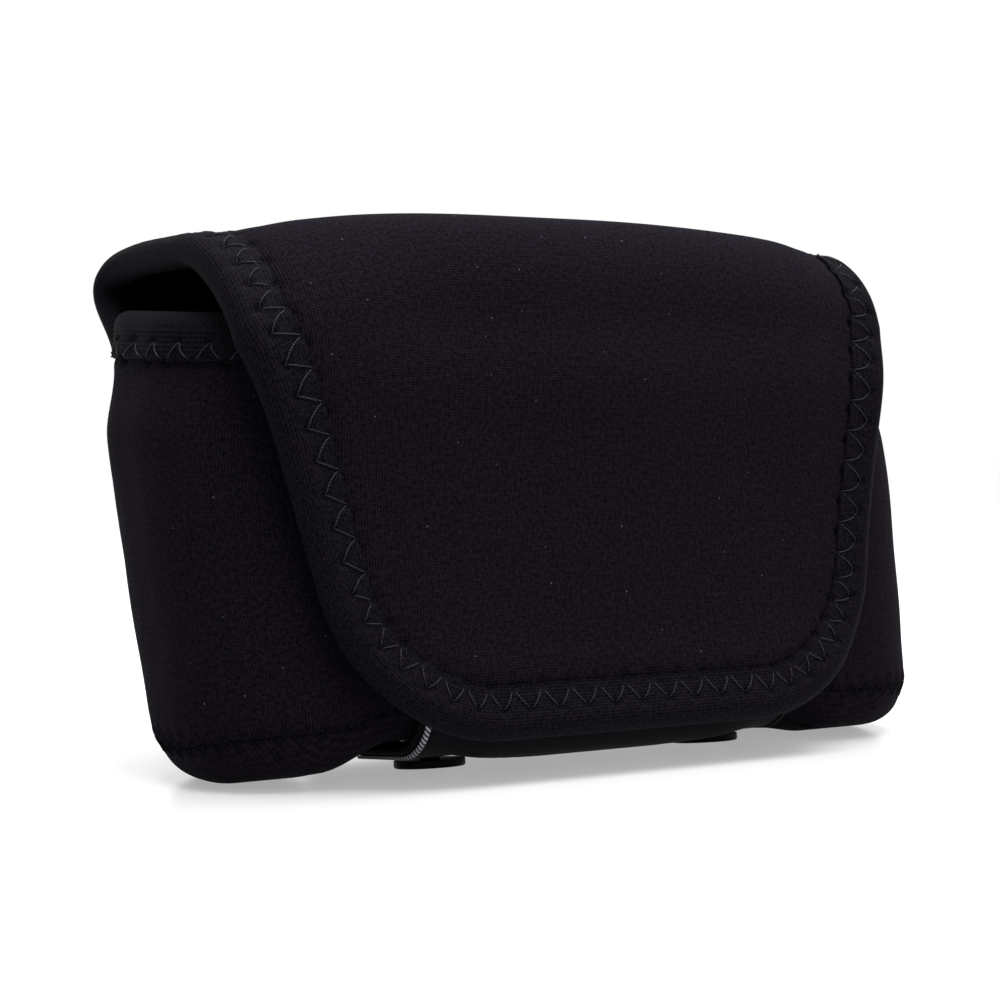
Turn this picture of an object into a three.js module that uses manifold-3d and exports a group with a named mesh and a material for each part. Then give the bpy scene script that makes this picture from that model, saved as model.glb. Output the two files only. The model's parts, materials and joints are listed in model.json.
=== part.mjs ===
// Camera pouch: a sewn foam-rubber pouch for a compact camera, closed and standing on its base.
// Millimetres, +Z up. X runs across the width, the flap's front looks towards -Y, the floor is z = 0.
import * as THREE from 'three';
import { mergeVertices } from 'three/addons/utils/BufferGeometryUtils.js';
import Module from 'manifold-3d';

const wasm = await Module();
wasm.setup();

// General sizes
const foam = 3;                  // neoprene sheet with a knit face on both sides
const gap = 0.3;                 // clearance between pieces that touch
const threadSize = 0.3;          // sewing thread, drawn with a square section

// Body, stuffed to its shape in use: half sizes at four levels
const rimHeight = 67.1;          // top of the mouth tape at the front
const rimRise = 1.8;             // how much higher the mouth is at the back
const bellyHeight = 49;
const hemHeight = 60.5;          // where the mouth tape draws the body in
const baseHalfWidth = 67;
const bellyHalfWidth = 69.6;
const hemHalfWidth = 66.5;
const rimHalfWidth = 64.6;
const baseHalfDepth = 18.6;
const bellyHalfDepth = 19.2;
const hemHalfDepth = 20.2;
const rimHalfDepth = 19.6;
const baseCrown = 0.8;           // how far the middle of the front stands out past its corners
const bellyCrown = 2.4;
const rimCrown = 2;
const hemBackSwell = 2.4;        // the back stands out this much more at the hem
const rimBackSwell = 4.2;        // and at the rim
const cornerRadius = 16.8;       // upright corners, seen from above
const bottomFillet = 8;
const lean = 0.226;              // the body leans back by this much per millimetre of height
const footY = -5;                // middle of the base
const baseSlope = 0.2;           // the front of the base rises off the floor this steeply
const strapSlope = 0.1;          // over the strap and its snaps it rises this steeply
const liftEase = 6;              // length over which that rise begins
const liftReach = 35;            // height at which the rise has faded out of the walls
const liftSpread = 12;           // beside the strap it fades out over this much
const floorStart = 1.3;          // the base lies on the floor behind this line

// Seams
const seamRise = 9.5;              // base seam, measured up the curve of the bottom edge
const seamTurn = 0.3;            // back seams run down the back corners, this share of the way round
const seamSlit = 0.015;          // half the slit of a back seam, in stretches of the outline
const seamStitchPitch = 3.2;
const seamStitchWidth = 3.4;

// Knit tape on the mouth and round the flap
const tape = 0.8;
const tapeWidth = 7.2;
const stitchPitch = 4.9;
const stitchWidth = 2.9;
const stitchInset = 3.8;         // from the edge to the nearer row of needle holes
const stitchRoom = 0.15;          // threads cut the corner over the arch
const tapeRound = 1.3;           // the tape's folded edge rounds off over this much
const tapeNose = 0.4;            // and is this blunt

// Flap, measured on its middle surface
const flapRootHeight = 62;
const flapRootHalfWidth = 59.5;
const flapHalfWidth = 58.9;
const rootSpread = 25;           // it goes from one width to the other over this length
const flapCentre = -2.7;         // it sits a little off the body's middle
const flapTopHeight = 77.2;      // at its sides
const flapTopCrown = 4.6;        // how much higher the middle is
const crownPower = 3;            // 2 is an even arch across, more is flatter in the middle
const flapTopTilt = 1;         // the right side is this much above that, the left side below
const archBack = 24;             // draws the flap out behind its root, into an arch
const archRise = 6;              // it leaves the root almost upright for about this far
const topStart = 9;              // the top begins this far ahead of the root
const archFront = 8;             // the bend from the top to the front begins this far back
const archDrop = 9;              // and ends this far below the sides' top
const archFrontLeft = 24;      // the same at the flap's sides, where it bends more gently
const archDropLeft = 19;
const archFrontRight = 11;
const archDropRight = 11;
const bendFullness = 0.6;        // 0 is the squarest bend, 1 the flattest
const foldInBend = 5;            // the flap's fold line, this far round that bend
const taperStart = 2;            // its sides begin to draw in this far below the fold
const flapHem = 6.2;             // height of the flap's lower edge above the floor
const flapTaper = 0.22;          // each side draws in by this much per millimetre
const flapCornerRadius = 27;
const roomOverStrap = 1.3;       // more room where the flap's edge lies over the strap
const roomOverMouth = 2.55;       // and where the flap lies over the mouth tape
const strapSpread = 10;          // lengths over which each of those eases in
const mouthSpread = 28;

// Hook and loop patches that hold the flap's front to the body
const patchThickness = 0.7;
const patchHalfWidth = 26;
const patchLow = 20;
const patchHigh = 36;
const standoff = foam / 2 + 3 * gap + 2 * patchThickness; // body to the flap's middle surface

// Strap: sewn high on the back, down and under the base, snapped there
const strapThickness = 1.4;
const strapHalfWidth = 34.5;
const strapCentre = -2.3;
const strapGap = threadSize + 2 * gap; // it passes over the base seam's stitches
const strapUpFront = 8.2;        // its end, up the curve of the base's front edge
const strapTop = 54;
const strapSewn = 5;             // height of its sewn end
const beltLow = 22;              // between these heights it hangs straight
const beltHigh = 40;
const beltRoom = 6.6;            // between the back and the strap
const foldReach = 8;             // how gently the strap turns up from the base
const foldRise = 11;
const sewnEase = 4;              // and in again to its sewn end
const labelThickness = 0.4;
const labelBack = 8;             // the label ends this far behind the snaps
const labelMargin = 0.6;         // and this far inside the strap's edges

// Snaps
const snapSpacing = 51.8;
const snapForward = 6.5;         // ahead of the middle of the base
const capRadius = 5.35;
const capThickness = 1.2;
const capBevel = 0.4;
const postRadius = 1.5;
const ringRadius = 4.4;
const ringFloor = 0.4;
const studRadius = 1.9;
const studFlange = 0.3;
const recessDepth = 1.9;         // the foam is pressed in this deep round each snap
const recessRoom = 0.5;
const turnedSteps = 20;          // steps round a snap's pieces

// Materials
const jersey = new THREE.MeshStandardMaterial({ color: 0x17131a, roughness: 0.9, metalness: 0 });
const knitTape = new THREE.MeshStandardMaterial({ color: 0x131016, roughness: 0.85, metalness: 0 });
const thread = new THREE.MeshStandardMaterial({ color: 0x3a383d, roughness: 0.6, metalness: 0 });
const hookTape = new THREE.MeshStandardMaterial({ color: 0x121113, roughness: 0.8, metalness: 0 });
const webbing = new THREE.MeshStandardMaterial({ color: 0x151317, roughness: 0.8, metalness: 0 });
const woven = new THREE.MeshStandardMaterial({ color: 0x1b181d, roughness: 0.5, metalness: 0 });
const capPlastic = new THREE.MeshStandardMaterial({ color: 0x141315, roughness: 0.35, metalness: 0 });
const steel = new THREE.MeshStandardMaterial({ color: 0x8d8d8f, roughness: 0.3, metalness: 1 });

const group = new THREE.Group();

// Smooth step from 0 to 1
function ease(t) {
  const clamped = THREE.MathUtils.clamp(t, 0, 1);
  return clamped * clamped * (3 - 2 * clamped);
}

// A value at one height, eased between the base, belly, hem and rim
function level(height, base, belly, hem, rim) {
  if (height < bellyHeight) return base + (belly - base) * ease(height / bellyHeight);
  if (height < hemHeight) {
    return belly + (hem - belly) * ease((height - bellyHeight) / (hemHeight - bellyHeight));
  }
  return hem + (rim - hem) * ease((height - hemHeight) / (rimHeight - hemHeight));
}

const halfWidth = (z) => level(z, baseHalfWidth, bellyHalfWidth, hemHalfWidth, rimHalfWidth);
const halfDepth = (z) => level(z, baseHalfDepth, bellyHalfDepth, hemHalfDepth, rimHalfDepth);
const corner = (z) => Math.min(cornerRadius, halfDepth(z) - 1);
const backSwell = (z) => level(z, 0, 0, hemBackSwell, rimBackSwell) / halfDepth(z);
const crown = (x, z) => {
  const share = 1 - (x / halfWidth(z)) ** 2;
  return level(z, baseCrown, bellyCrown, rimCrown, rimCrown) * Math.max(0, share);
};

// How far the base is lifted off the floor: its front curls up, more so over the strap and snaps
function rise(y, start, slope) {
  const run = start - y;
  if (run <= 0) return 0;
  if (run < liftEase) return slope * run * run / (2 * liftEase);
  return slope * (run - liftEase / 2);
}

// The strap lies under the base, and the back edges of the snap caps touch the floor
const strapRoom = strapGap + strapThickness;
const labelFace = strapRoom + gap + labelThickness;
const capFace = labelFace + gap + capThickness;
const snapLean = Math.atan(strapSlope / (1 - lean * strapSlope));
const snapRise = capFace * Math.cos(snapLean) + capRadius * Math.sin(snapLean) - strapRoom;
const strapFloorStart = snapRise / strapSlope + liftEase / 2 - snapForward;

const liftHalfWidth = strapHalfWidth + 3 * gap;

function lift(x, y) {
  const overStrap = 1 - ease((Math.abs(x - strapCentre) - liftHalfWidth) / liftSpread);
  const free = rise(y, floorStart, baseSlope);
  return free + (rise(y, strapFloorStart, strapSlope) + strapRoom - free) * overStrap;
}

// Puts a point of the upright, flat-bottomed body where it stands
function stand(x, y, z) {
  const height = z + lift(x, y) * (1 - ease(z / liftReach));
  return new THREE.Vector3(x, y + footY + lean * height, height);
}

// The body's outline at one height. The turn counts eight stretches from the front's left end:
// front, corner, right side, corner, back, corner, left side, corner.
function outline(turn, z, grow) {
  const wrapped = ((turn % 8) + 8) % 8;
  const stretch = Math.floor(wrapped);
  const part = wrapped - stretch;
  const radius = corner(z);
  const farX = halfWidth(z) - radius;
  const farY = halfDepth(z) - radius;
  const quarter = Math.floor(stretch / 2);
  const flat = stretch % 2 === 0;
  const cornerX = [farX, farX, -farX, -farX][quarter];
  const cornerY = [-farY, farY, farY, -farY][quarter];
  const angle = (quarter - 1) * Math.PI / 2 + (flat ? 0 : part * Math.PI / 2);
  const reach = radius + grow;
  let x = cornerX + reach * Math.cos(angle);
  let y = cornerY + reach * Math.sin(angle);
  if (flat) {
    x -= (1 - part) * 2 * farX * [1, 0, -1, 0][quarter];
    y -= (1 - part) * 2 * farY * [0, 1, 0, -1][quarter];
  }
  if (y < 0) y -= crown(x, z);
  else y += y * backSwell(z);
  return [x, y];
}

// Height and outward growth at a length up the wall, measured from the flat of the base
function wallProfile(length, offset) {
  const angle = length / bottomFillet;
  if (angle < Math.PI / 2) {
    const reach = bottomFillet + offset;
    return [bottomFillet - reach * Math.cos(angle), reach * Math.sin(angle) - bottomFillet];
  }
  return [bottomFillet + length - bottomFillet * Math.PI / 2, offset];
}

function wallPoint(turn, length, offset) {
  const [z, grow] = wallProfile(length, offset);
  const [x, y] = outline(turn, z, grow);
  return stand(x, y, z);
}

const lengthAtHeight = (z) => z - bottomFillet + bottomFillet * Math.PI / 2;

// The mouth climbs a little from the front to the back
function rimLength(turn) {
  const [, y] = outline(turn, rimHeight, 0);
  return lengthAtHeight(rimHeight + rimRise * ease((y + rimHalfDepth) / (2 * rimHalfDepth)));
}

// Surface at an offset from the body's front, at a place across it and a height above the floor
function frontFace(x, z, offset) {
  const past = Math.max(0, Math.abs(x) - halfWidth(z) + corner(z));
  const arc = corner(z) + offset;
  const bend = arc - Math.sqrt(Math.max(0, arc * arc - past * past));
  return -halfDepth(z) - crown(x, z) - offset + bend + footY + lean * z;
}

function backFace(x, z) {
  const radius = corner(z);
  const past = Math.max(0, Math.abs(x) - halfWidth(z) + radius);
  const bend = radius - Math.sqrt(Math.max(0, radius * radius - past * past));
  return (halfDepth(z) - bend) * (1 + backSwell(z)) + footY + lean * z;
}

// Builds one closed mesh from triangles of points, and turns its faces out
function solid(points, triangles) {
  const geometry = new THREE.BufferGeometry();
  const places = points.flatMap((p) => [p.x, p.y, p.z]);
  geometry.setAttribute('position', new THREE.Float32BufferAttribute(places, 3));
  let volume = 0;
  for (const [a, b, c] of triangles) volume += points[a].dot(points[b].clone().cross(points[c]));
  const outward = volume < 0 ? triangles.map(([a, b, c]) => [a, c, b]) : triangles;
  geometry.setIndex(outward.flat());
  return geometry;
}

// A slab between two offsets of a surface, over a grid of steps
function slab(surface, steps, rows, low, high) {
  const points = [];
  const index = (side, i, j) => (side * (steps + 1) + i) * (rows + 1) + j;
  for (const offset of [low, high]) {
    for (let i = 0; i <= steps; i += 1) {
      for (let j = 0; j <= rows; j += 1) points.push(surface(i / steps, j / rows, offset));
    }
  }
  const triangles = [];
  const quad = (a, b, c, d) => triangles.push([a, b, c], [a, c, d]);
  for (let i = 0; i < steps; i += 1) {
    for (let j = 0; j < rows; j += 1) {
      quad(index(0, i, j), index(0, i, j + 1), index(0, i + 1, j + 1), index(0, i + 1, j));
      quad(index(1, i, j), index(1, i + 1, j), index(1, i + 1, j + 1), index(1, i, j + 1));
    }
    quad(index(0, i, 0), index(0, i + 1, 0), index(1, i + 1, 0), index(1, i, 0));
    quad(index(0, i, rows), index(1, i, rows), index(1, i + 1, rows), index(0, i + 1, rows));
  }
  for (let j = 0; j < rows; j += 1) {
    quad(index(0, 0, j), index(1, 0, j), index(1, 0, j + 1), index(0, 0, j + 1));
    quad(index(0, steps, j), index(0, steps, j + 1), index(1, steps, j + 1), index(1, steps, j));
  }
  return solid(points, triangles);
}

// A section of points carried along stations, with its two ends closed, or joined in a loop
function loft(rings, section, looped = false) {
  const count = section.length;
  const points = rings.flat();
  const triangles = [];
  const last = looped ? rings.length : rings.length - 1;
  for (let i = 0; i < last; i += 1) {
    const here = i * count;
    const next = ((i + 1) % rings.length) * count;
    for (let k = 0; k < count; k += 1) {
      const l = (k + 1) % count;
      triangles.push([here + k, next + k, next + l], [here + k, next + l, here + l]);
    }
  }
  if (!looped) {
    const end = (rings.length - 1) * count;
    const direction = Math.sign(THREE.ShapeUtils.area(section));
    for (const face of THREE.ShapeUtils.triangulateShape(section, [])) {
      const sameWay = Math.sign(THREE.ShapeUtils.area(face.map((k) => section[k]))) === direction;
      const [a, b, c] = sameWay ? face : [face[0], face[2], face[1]];
      triangles.push([a, b, c], [end + a, end + c, end + b]);
    }
  }
  return solid(points, triangles);
}

function add(name, geometry, material, parent = group) {
  const mesh = new THREE.Mesh(geometry, material);
  mesh.name = name;
  parent.add(mesh);
  return mesh;
}

// Joins and cuts closed meshes
function toManifold(geometry) {
  const merged = geometry.clone();
  for (const name of Object.keys(merged.attributes)) {
    if (name !== 'position') merged.deleteAttribute(name);
  }
  const clean = mergeVertices(merged, 1e-5);
  return new wasm.Manifold(new wasm.Mesh({
    numProp: 3,
    vertProperties: new Float32Array(clean.attributes.position.array),
    triVerts: new Uint32Array(clean.index.array),
  }));
}

function fromManifold(manifold) {
  const mesh = manifold.getMesh();
  const geometry = new THREE.BufferGeometry();
  geometry.setAttribute('position', new THREE.Float32BufferAttribute(mesh.vertProperties, 3));
  geometry.setIndex(Array.from(mesh.triVerts));
  return geometry;
}

// The wrap: one piece round the front and both sides, from back seam to back seam
const seamLow = seamRise - gap / 2;
const seamHigh = seamRise + gap / 2;

// Even steps from one value to another, both included
const steps = (from, to, count) => (
  Array.from({ length: count + 1 }, (_, k) => from + (to - from) * k / count)
);

// Steps across the front and the back: closer where the strap's lift fades out
const flatHalf = halfWidth(0) - corner(0);
const across = [
  ...steps(-liftHalfWidth - liftSpread, -liftHalfWidth, 4),
  ...steps(-liftHalfWidth, liftHalfWidth, 8).slice(1, -1),
  ...steps(liftHalfWidth, liftHalfWidth + liftSpread, 4),
].map((x) => (strapCentre + x) / (2 * flatHalf) + 0.5).filter((share) => share > 0.01 && share < 0.99);
const sideTurns = [
  ...steps(1, 2, 5),
  ...steps(2, 3, 3).slice(1),
];
const turns = [
  ...steps(-2 - seamTurn + seamSlit, -2, 2),
  ...sideTurns.map((turn) => 1 - turn).reverse().slice(1),
  ...across,
  ...sideTurns,
  ...steps(3, 3 + seamTurn - seamSlit, 2).slice(1),
];
const wrapTurn = (share) => turns[Math.round(share * (turns.length - 1))];
const wallRows = 12;

// Rows up the wall: even up to the mouth tape, then in step with the tape
function wallRow(turn, k) {
  const even = wallRows - 2;
  const low = rimLength(turn) - tapeWidth;
  if (k <= even) return seamHigh + (low - seamHigh) * k / even;
  return k === wallRows ? rimLength(turn) - tape - gap : low + tapeWidth / 2;
}

add('front_wrap', slab((u, v, n) => {
  const turn = wrapTurn(u);
  return wallPoint(turn, wallRow(turn, Math.round(v * wallRows)), n);
}, turns.length - 1, wallRows, -foam, 0), jersey);

// The back panel, between the back seams, up to the flap's root
const backTurns = [
  ...steps(3 + seamTurn + seamSlit, 4, 4),
  ...across.map((share) => 5 - share).reverse(),
  ...steps(5, 6 - seamTurn - seamSlit, 4),
];

add('back_panel', slab((u, v, n) => {
  const top = lengthAtHeight(flapRootHeight - gap);
  const turn = backTurns[Math.round(u * (backTurns.length - 1))];
  return wallPoint(turn, seamHigh + (top - seamHigh) * v, n);
}, backTurns.length - 1, 10, -foam, 0), jersey);

// The base panel: a shallow dish whose edge curls up to the seam, in step with the walls above it
const dishTurns = [...turns, ...backTurns];
const dishShares = [0.2, 0.4, 0.6, 0.75, 0.9, 1]; // rings of the dish's flat, then of its curl
const curlShares = [0.25, 0.5, 0.75, 1];

function flatRing(share, offset) {
  return dishTurns.map((turn) => {
    const [x, y] = outline(turn, 0, -bottomFillet);
    return stand(x * share, y * share, -offset);
  });
}

function dishRings(offset) {
  return [
    ...dishShares.map((share) => flatRing(share, offset)),
    ...curlShares.map((share) => dishTurns.map((turn) => wallPoint(turn, seamLow * share, offset))),
  ];
}

function snapFrame(side) {
  const frame = new THREE.Group();
  const x = strapCentre + side * snapSpacing / 2;
  frame.position.copy(stand(x, -snapForward, 0));
  frame.rotation.x = -snapLean;
  frame.updateMatrixWorld(true);
  return frame;
}

const snapSides = { left: -1, right: 1 };
const snapFrames = { left: snapFrame(-1), right: snapFrame(1) };

// A round piece from a profile of radius and height, standing on a snap's axis
function turned(profile) {
  const half = profile.map(([r, z]) => new THREE.Vector2(r, z));
  return new THREE.LatheGeometry(half, turnedSteps).rotateX(Math.PI / 2);
}

const rod = (radius, low, high) => turned([[0, low], [radius, low], [radius, high], [0, high]]);

function drilled(geometry, cuts) {
  let body = toManifold(geometry);
  for (const frame of Object.values(snapFrames)) {
    for (const cut of cuts) body = body.subtract(toManifold(cut).transform(frame.matrixWorld.elements));
  }
  return fromManifold(body);
}

const baseRings = [...dishRings(0), ...dishRings(-foam).reverse()];
const baseSection = dishTurns.map((turn) => new THREE.Vector2(...outline(turn, 0, -bottomFillet)));
const postHole = rod(postRadius + gap, -2 * capFace, 2 * foam);
const recess = rod(ringRadius + recessRoom, -2, recessDepth);
add('base_panel', drilled(loft(baseRings, baseSection), [recess, postHole]), jersey);

// A channel of folded tape over an edge: across the edge, and through the thickness
function channel(half) {
  const outer = half + gap + tape;
  const inner = half + gap;
  const side = [
    [-tapeWidth, outer], [-tapeWidth / 2, outer], [-tapeRound, outer], [-tapeNose, inner],
  ];
  const back = side.map(([o, n]) => [o, -n]).reverse();
  const leg = [[-tapeWidth, -inner], [-tapeWidth / 2, -inner], [-tape, -inner]];
  const inside = [...leg, ...leg.map(([o, n]) => [o, -n]).reverse()];
  return [...side, [0, 0], ...back, ...inside].map(([o, n]) => new THREE.Vector2(o, n));
}

// The mouth tape, from back corner to back corner over the sides and the front
const mouthTurns = turns.slice(2, -2);
const mouthSection = channel(foam / 2);
add('mouth_binding', loft(mouthTurns.map((turn) => mouthSection.map(({ x: o, y: n }) => (
  wallPoint(turn, rimLength(turn) + o, n - foam / 2)
))), mouthSection), knitTape);

// The flap's path at one place across it: root, arch, top, front bend and front
const paths = new Map();

function flapPath(x) {
  const key = x.toFixed(3);
  if (paths.has(key)) return paths.get(key);
  const share = (x - flapCentre) / flapHalfWidth;
  const middle = 1 - Math.min(1, Math.abs(share) ** crownPower);
  const sideTop = flapTopHeight + flapTopTilt * share;
  const top = sideTop + flapTopCrown * middle;
  const root = backFace(x, flapRootHeight) - foam / 2;
  const face = (z) => {
    const beside = ease((Math.abs(x - strapCentre) - liftHalfWidth) / liftSpread);
    const overStrap = roomOverStrap * (1 - beside) * (1 - ease((z - flapHem - tapeWidth) / strapSpread));
    const overMouth = roomOverMouth * ease((z - rimHeight + tapeWidth + mouthSpread) / mouthSpread);
    return frontFace(x, z, standoff + overStrap + overMouth);
  };
  const sideFront = x < flapCentre ? archFrontLeft : archFrontRight;
  const sideDrop = x < flapCentre ? archDropLeft : archDropRight;
  const bendRun = sideFront + (archFront - sideFront) * middle;
  const bendEnd = sideTop - sideDrop - (archDrop - sideDrop) * middle;
  const place = (y, z) => new THREE.Vector2(y, z);
  const path = new THREE.CurvePath();
  path.add(new THREE.CubicBezierCurve(
    place(root, flapRootHeight),
    place(root + 1, flapRootHeight + archRise),
    place(root + archBack, top),
    place(root - topStart, top),
  ));
  path.add(new THREE.LineCurve(place(root - topStart, top), place(face(bendEnd) + bendRun, top)));
  path.add(new THREE.CubicBezierCurve(
    place(face(bendEnd) + bendRun, top),
    place(face(bendEnd) + bendRun * bendFullness, top),
    place(face(bendEnd), top + (bendEnd - top) * bendFullness),
    place(face(bendEnd), bendEnd),
  ));
  const fall = [0, 0.25, 0.5, 0.75, 0.9, 1].map((share) => bendEnd + (flapHem - bendEnd) * share);
  path.add(new THREE.SplineCurve(fall.map((z) => place(face(z), z))));
  for (const curve of path.curves) curve.arcLengthDivisions = 40;
  paths.set(key, path);
  return path;
}

const flapLength = flapPath(flapCentre + flapHalfWidth).getLength();

// A point of the flap: across from its middle, along from its root, and out of its middle surface
function flapPoint(across, s, n) {
  const x = flapCentre + across;
  const at = (place, along) => {
    const p = flapPath(place).getPoint(THREE.MathUtils.clamp(along / flapLength, 0, 1));
    return new THREE.Vector3(place, p.x, p.y);
  };
  const step = 0.2;
  const acrossWay = at(x + step, s).sub(at(x - step, s));
  const alongWay = at(x, Math.min(s + step, flapLength)).sub(at(x, Math.max(s - step, 0)));
  const normal = alongWay.cross(acrossWay).normalize();
  return at(x, s).addScaledVector(normal, n);
}

// The flap folds at a line part of the way round the bend from its top to its front
const [archCurve, topLine] = flapPath(flapCentre).curves;
const split = archCurve.getLength() + topLine.getLength() + foldInBend;

// The flap's outline in its own flat: straight sides, then drawn in to round corners
const bendAt = split + taperStart;
const cornerAt = flapLength - flapCornerRadius;
const slant = Math.atan(flapTaper);
const sideHalf = (s) => {
  if (s < bendAt) return flapRootHalfWidth + (flapHalfWidth - flapRootHalfWidth) * ease(s / rootSpread);
  return flapHalfWidth - flapTaper * (s - bendAt);
};
const cornerX = sideHalf(cornerAt) - flapCornerRadius * Math.sqrt(1 + flapTaper ** 2);

// Half the flap's width inside its edge by a margin
function panelHalf(s, margin) {
  const reach = flapCornerRadius - margin;
  const down = s - cornerAt;
  if (down > reach * Math.sin(slant)) return cornerX + Math.sqrt(Math.max(0, reach * reach - down * down));
  return sideHalf(s) - margin * Math.sqrt(1 + flapTaper ** 2);
}

const margin = tape + gap;
const foldGap = 0.5;

// Steps across the flap, closer towards its edges, and steps from its root to the front bend
const wide = (u) => Math.sin((u - 0.5) * Math.PI);
const topRows = steps(foldGap, split - foldGap / 2, 18);

add('flap_top', slab((u, v, n) => {
  const s = topRows[Math.round(v * (topRows.length - 1))];
  return flapPoint(wide(u) * (sideHalf(s) - margin), s, n);
}, 18, topRows.length - 1, -foam / 2, foam / 2), jersey);

// Rows down the flap's front, closer where the corners round
const lowRow = cornerAt + (flapCornerRadius - margin) * Math.sin(slant);
const frontRows = steps(split + foldGap / 2, lowRow, 14);
for (let k = 1; k <= 7; k += 1) {
  const angle = slant + (Math.PI / 2 - slant) * k / 7;
  frontRows.push(cornerAt + (flapCornerRadius - margin) * Math.sin(angle));
}

add('flap_front', slab((u, v, n) => {
  const s = frontRows[Math.round(v * (frontRows.length - 1))];
  return flapPoint(wide(u) * panelHalf(s, margin), s, n);
}, 18, frontRows.length - 1, -foam / 2, foam / 2), jersey);

// The flap's edge as a line in its own flat, and points at a distance in from it
function frontEdge() {
  const edge = new THREE.Path();
  const start = split + foldGap / 2;
  edge.moveTo(-sideHalf(start), start);
  if (start < bendAt) edge.lineTo(-sideHalf(bendAt), bendAt);
  edge.lineTo(-cornerX - flapCornerRadius * Math.cos(slant), cornerAt + flapCornerRadius * Math.sin(slant));
  edge.absarc(-cornerX, cornerAt, flapCornerRadius, Math.PI - slant, Math.PI / 2, true);
  edge.lineTo(cornerX, flapLength);
  edge.absarc(cornerX, cornerAt, flapCornerRadius, Math.PI / 2, slant, true);
  if (start < bendAt) edge.lineTo(sideHalf(bendAt), bendAt);
  edge.lineTo(sideHalf(start), start);
  return edge;
}

function sideEdge(sign) {
  const edge = new THREE.CurvePath();
  const corners = topRows.map((s) => new THREE.Vector2(sign * sideHalf(s), s));
  for (let k = 1; k < corners.length; k += 1) edge.add(new THREE.LineCurve(corners[k - 1], corners[k]));
  return edge;
}

// Point and outward direction on an edge line
function edgeAt(edge, share, outSign) {
  const p = edge.getPointAt(share);
  const t = edge.getTangentAt(share);
  return { p, out: new THREE.Vector2(outSign * t.y, -outSign * t.x) };
}

const flapSection = channel(foam / 2);

const bindEdge = (stations) => loft(stations.map(({ p, out }) => (
  flapSection.map(({ x: o, y: n }) => flapPoint(p.x + out.x * o, p.y + out.y * o, n))
)), flapSection);

// Beside the flap's top the tape's stations are the top's own rows
const sideStations = (sign) => topRows.map((s) => (
  { p: new THREE.Vector2(sign * sideHalf(s), s), out: new THREE.Vector2(sign, 0) }
));
const frontStations = steps(0, 1, 66).map((share) => edgeAt(frontEdge(), share, -1));
const flapEdges = {
  left: { edge: sideEdge(-1), outSign: -1, stations: sideStations(-1) },
  right: { edge: sideEdge(1), outSign: 1, stations: sideStations(1) },
  front: { edge: frontEdge(), outSign: -1, stations: frontStations },
};
for (const [place, { stations }] of Object.entries(flapEdges)) {
  add(`flap_binding_${place}`, bindEdge(stations), knitTape);
}

// Zigzag thread on a surface: needle holes taken turn about from the two rows. A looped seam
// runs along the surface's first coordinate.
const threadSection = [[-1, -1], [1, -1], [1, 1], [-1, 1]].map(([a, b]) => (
  new THREE.Vector2(a * threadSize / 2, b * threadSize / 2)
));

function zigzag(surface, holes, looped = false) {
  const rings = holes.map(([a, b], k) => {
    const before = holes[Math.max(k - 1, 0)];
    const after = holes[Math.min(k + 1, holes.length - 1)];
    const way = new THREE.Vector2(after[0] - before[0], after[1] - before[1]).normalize();
    if (looped) way.set(1, 0);
    return threadSection.map(({ x: o, y: n }) => surface(a - way.y * o, b + way.x * o, n));
  });
  return loft(rings, threadSection, looped);
}

// Stitches along the flap's edge
const stitchLift = foam / 2 + tape + 2 * gap + threadSize / 2 + stitchRoom;

function edgeStitches({ edge, outSign }) {
  const pairs = Math.round(edge.getLength() / stitchPitch);
  const holes = [];
  for (let k = 1; k < 2 * pairs; k += 1) {
    const { p, out } = edgeAt(edge, k / (2 * pairs), outSign);
    const inset = stitchInset + (k % 2) * stitchWidth;
    holes.push([p.x - out.x * inset, p.y - out.y * inset]);
  }
  return holes;
}

for (const [place, sort] of Object.entries(flapEdges)) {
  const surface = (a, b, n) => flapPoint(a, b, n + stitchLift);
  add(`flap_stitching_${place}`, zigzag(surface, edgeStitches(sort)), thread);
}

// Stitches round the body: through the mouth tape, and over the base seam
class BodyLine extends THREE.Curve {
  constructor(from, to, z) {
    super();
    Object.assign(this, { from, to, z, arcLengthDivisions: 400 });
  }

  getPoint(t) {
    return new THREE.Vector2(...outline(this.from + (this.to - this.from) * t, this.z, 0));
  }

  turnAt(share) {
    const wrapped = share - Math.floor(share);
    return this.from + (this.to - this.from) * this.getUtoTmapping(wrapped);
  }
}

function wallStitches(line, pitch, looped, place) {
  const length = line.getLength();
  const pairs = Math.round(length / pitch);
  const holes = [];
  for (let k = looped ? 0 : 1; k < 2 * pairs; k += 1) holes.push([k * length / (2 * pairs), k % 2]);
  return zigzag((a, b, n) => place(line.turnAt(a / length), b, n), holes, looped);
}

const mouthLine = new BodyLine(mouthTurns[0], mouthTurns[mouthTurns.length - 1], rimHeight);
add('mouth_stitching', wallStitches(mouthLine, stitchPitch, false, (turn, b, n) => (
  wallPoint(turn, rimLength(turn) - stitchInset - stitchWidth * b, n + stitchLift - foam / 2)
)), thread);

const seamLine = new BodyLine(0, 8, bottomFillet);
add('base_stitching', wallStitches(seamLine, seamStitchPitch, true, (turn, b, n) => (
  wallPoint(turn, seamRise + seamStitchWidth * (b - 0.5), n + gap + threadSize / 2)
)), thread);

// The hook patch inside the flap's front, and the loop patch that it grips
add('hook_patch', slab((u, v, n) => {
  const s = flapLength - (patchHigh + (patchLow - patchHigh) * v - flapHem);
  return flapPoint((2 * u - 1) * patchHalfWidth, s, n - foam / 2 - gap);
}, 6, 4, -patchThickness, 0), hookTape);

// Length up the front wall that stands at a height above the floor
function lengthAtStand(x, height) {
  const y = -halfDepth(height) - crown(x, height);
  let z = height;
  for (let k = 0; k < 20; k += 1) z = height - lift(x, y) * (1 - ease(z / liftReach));
  return lengthAtHeight(z);
}

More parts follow.
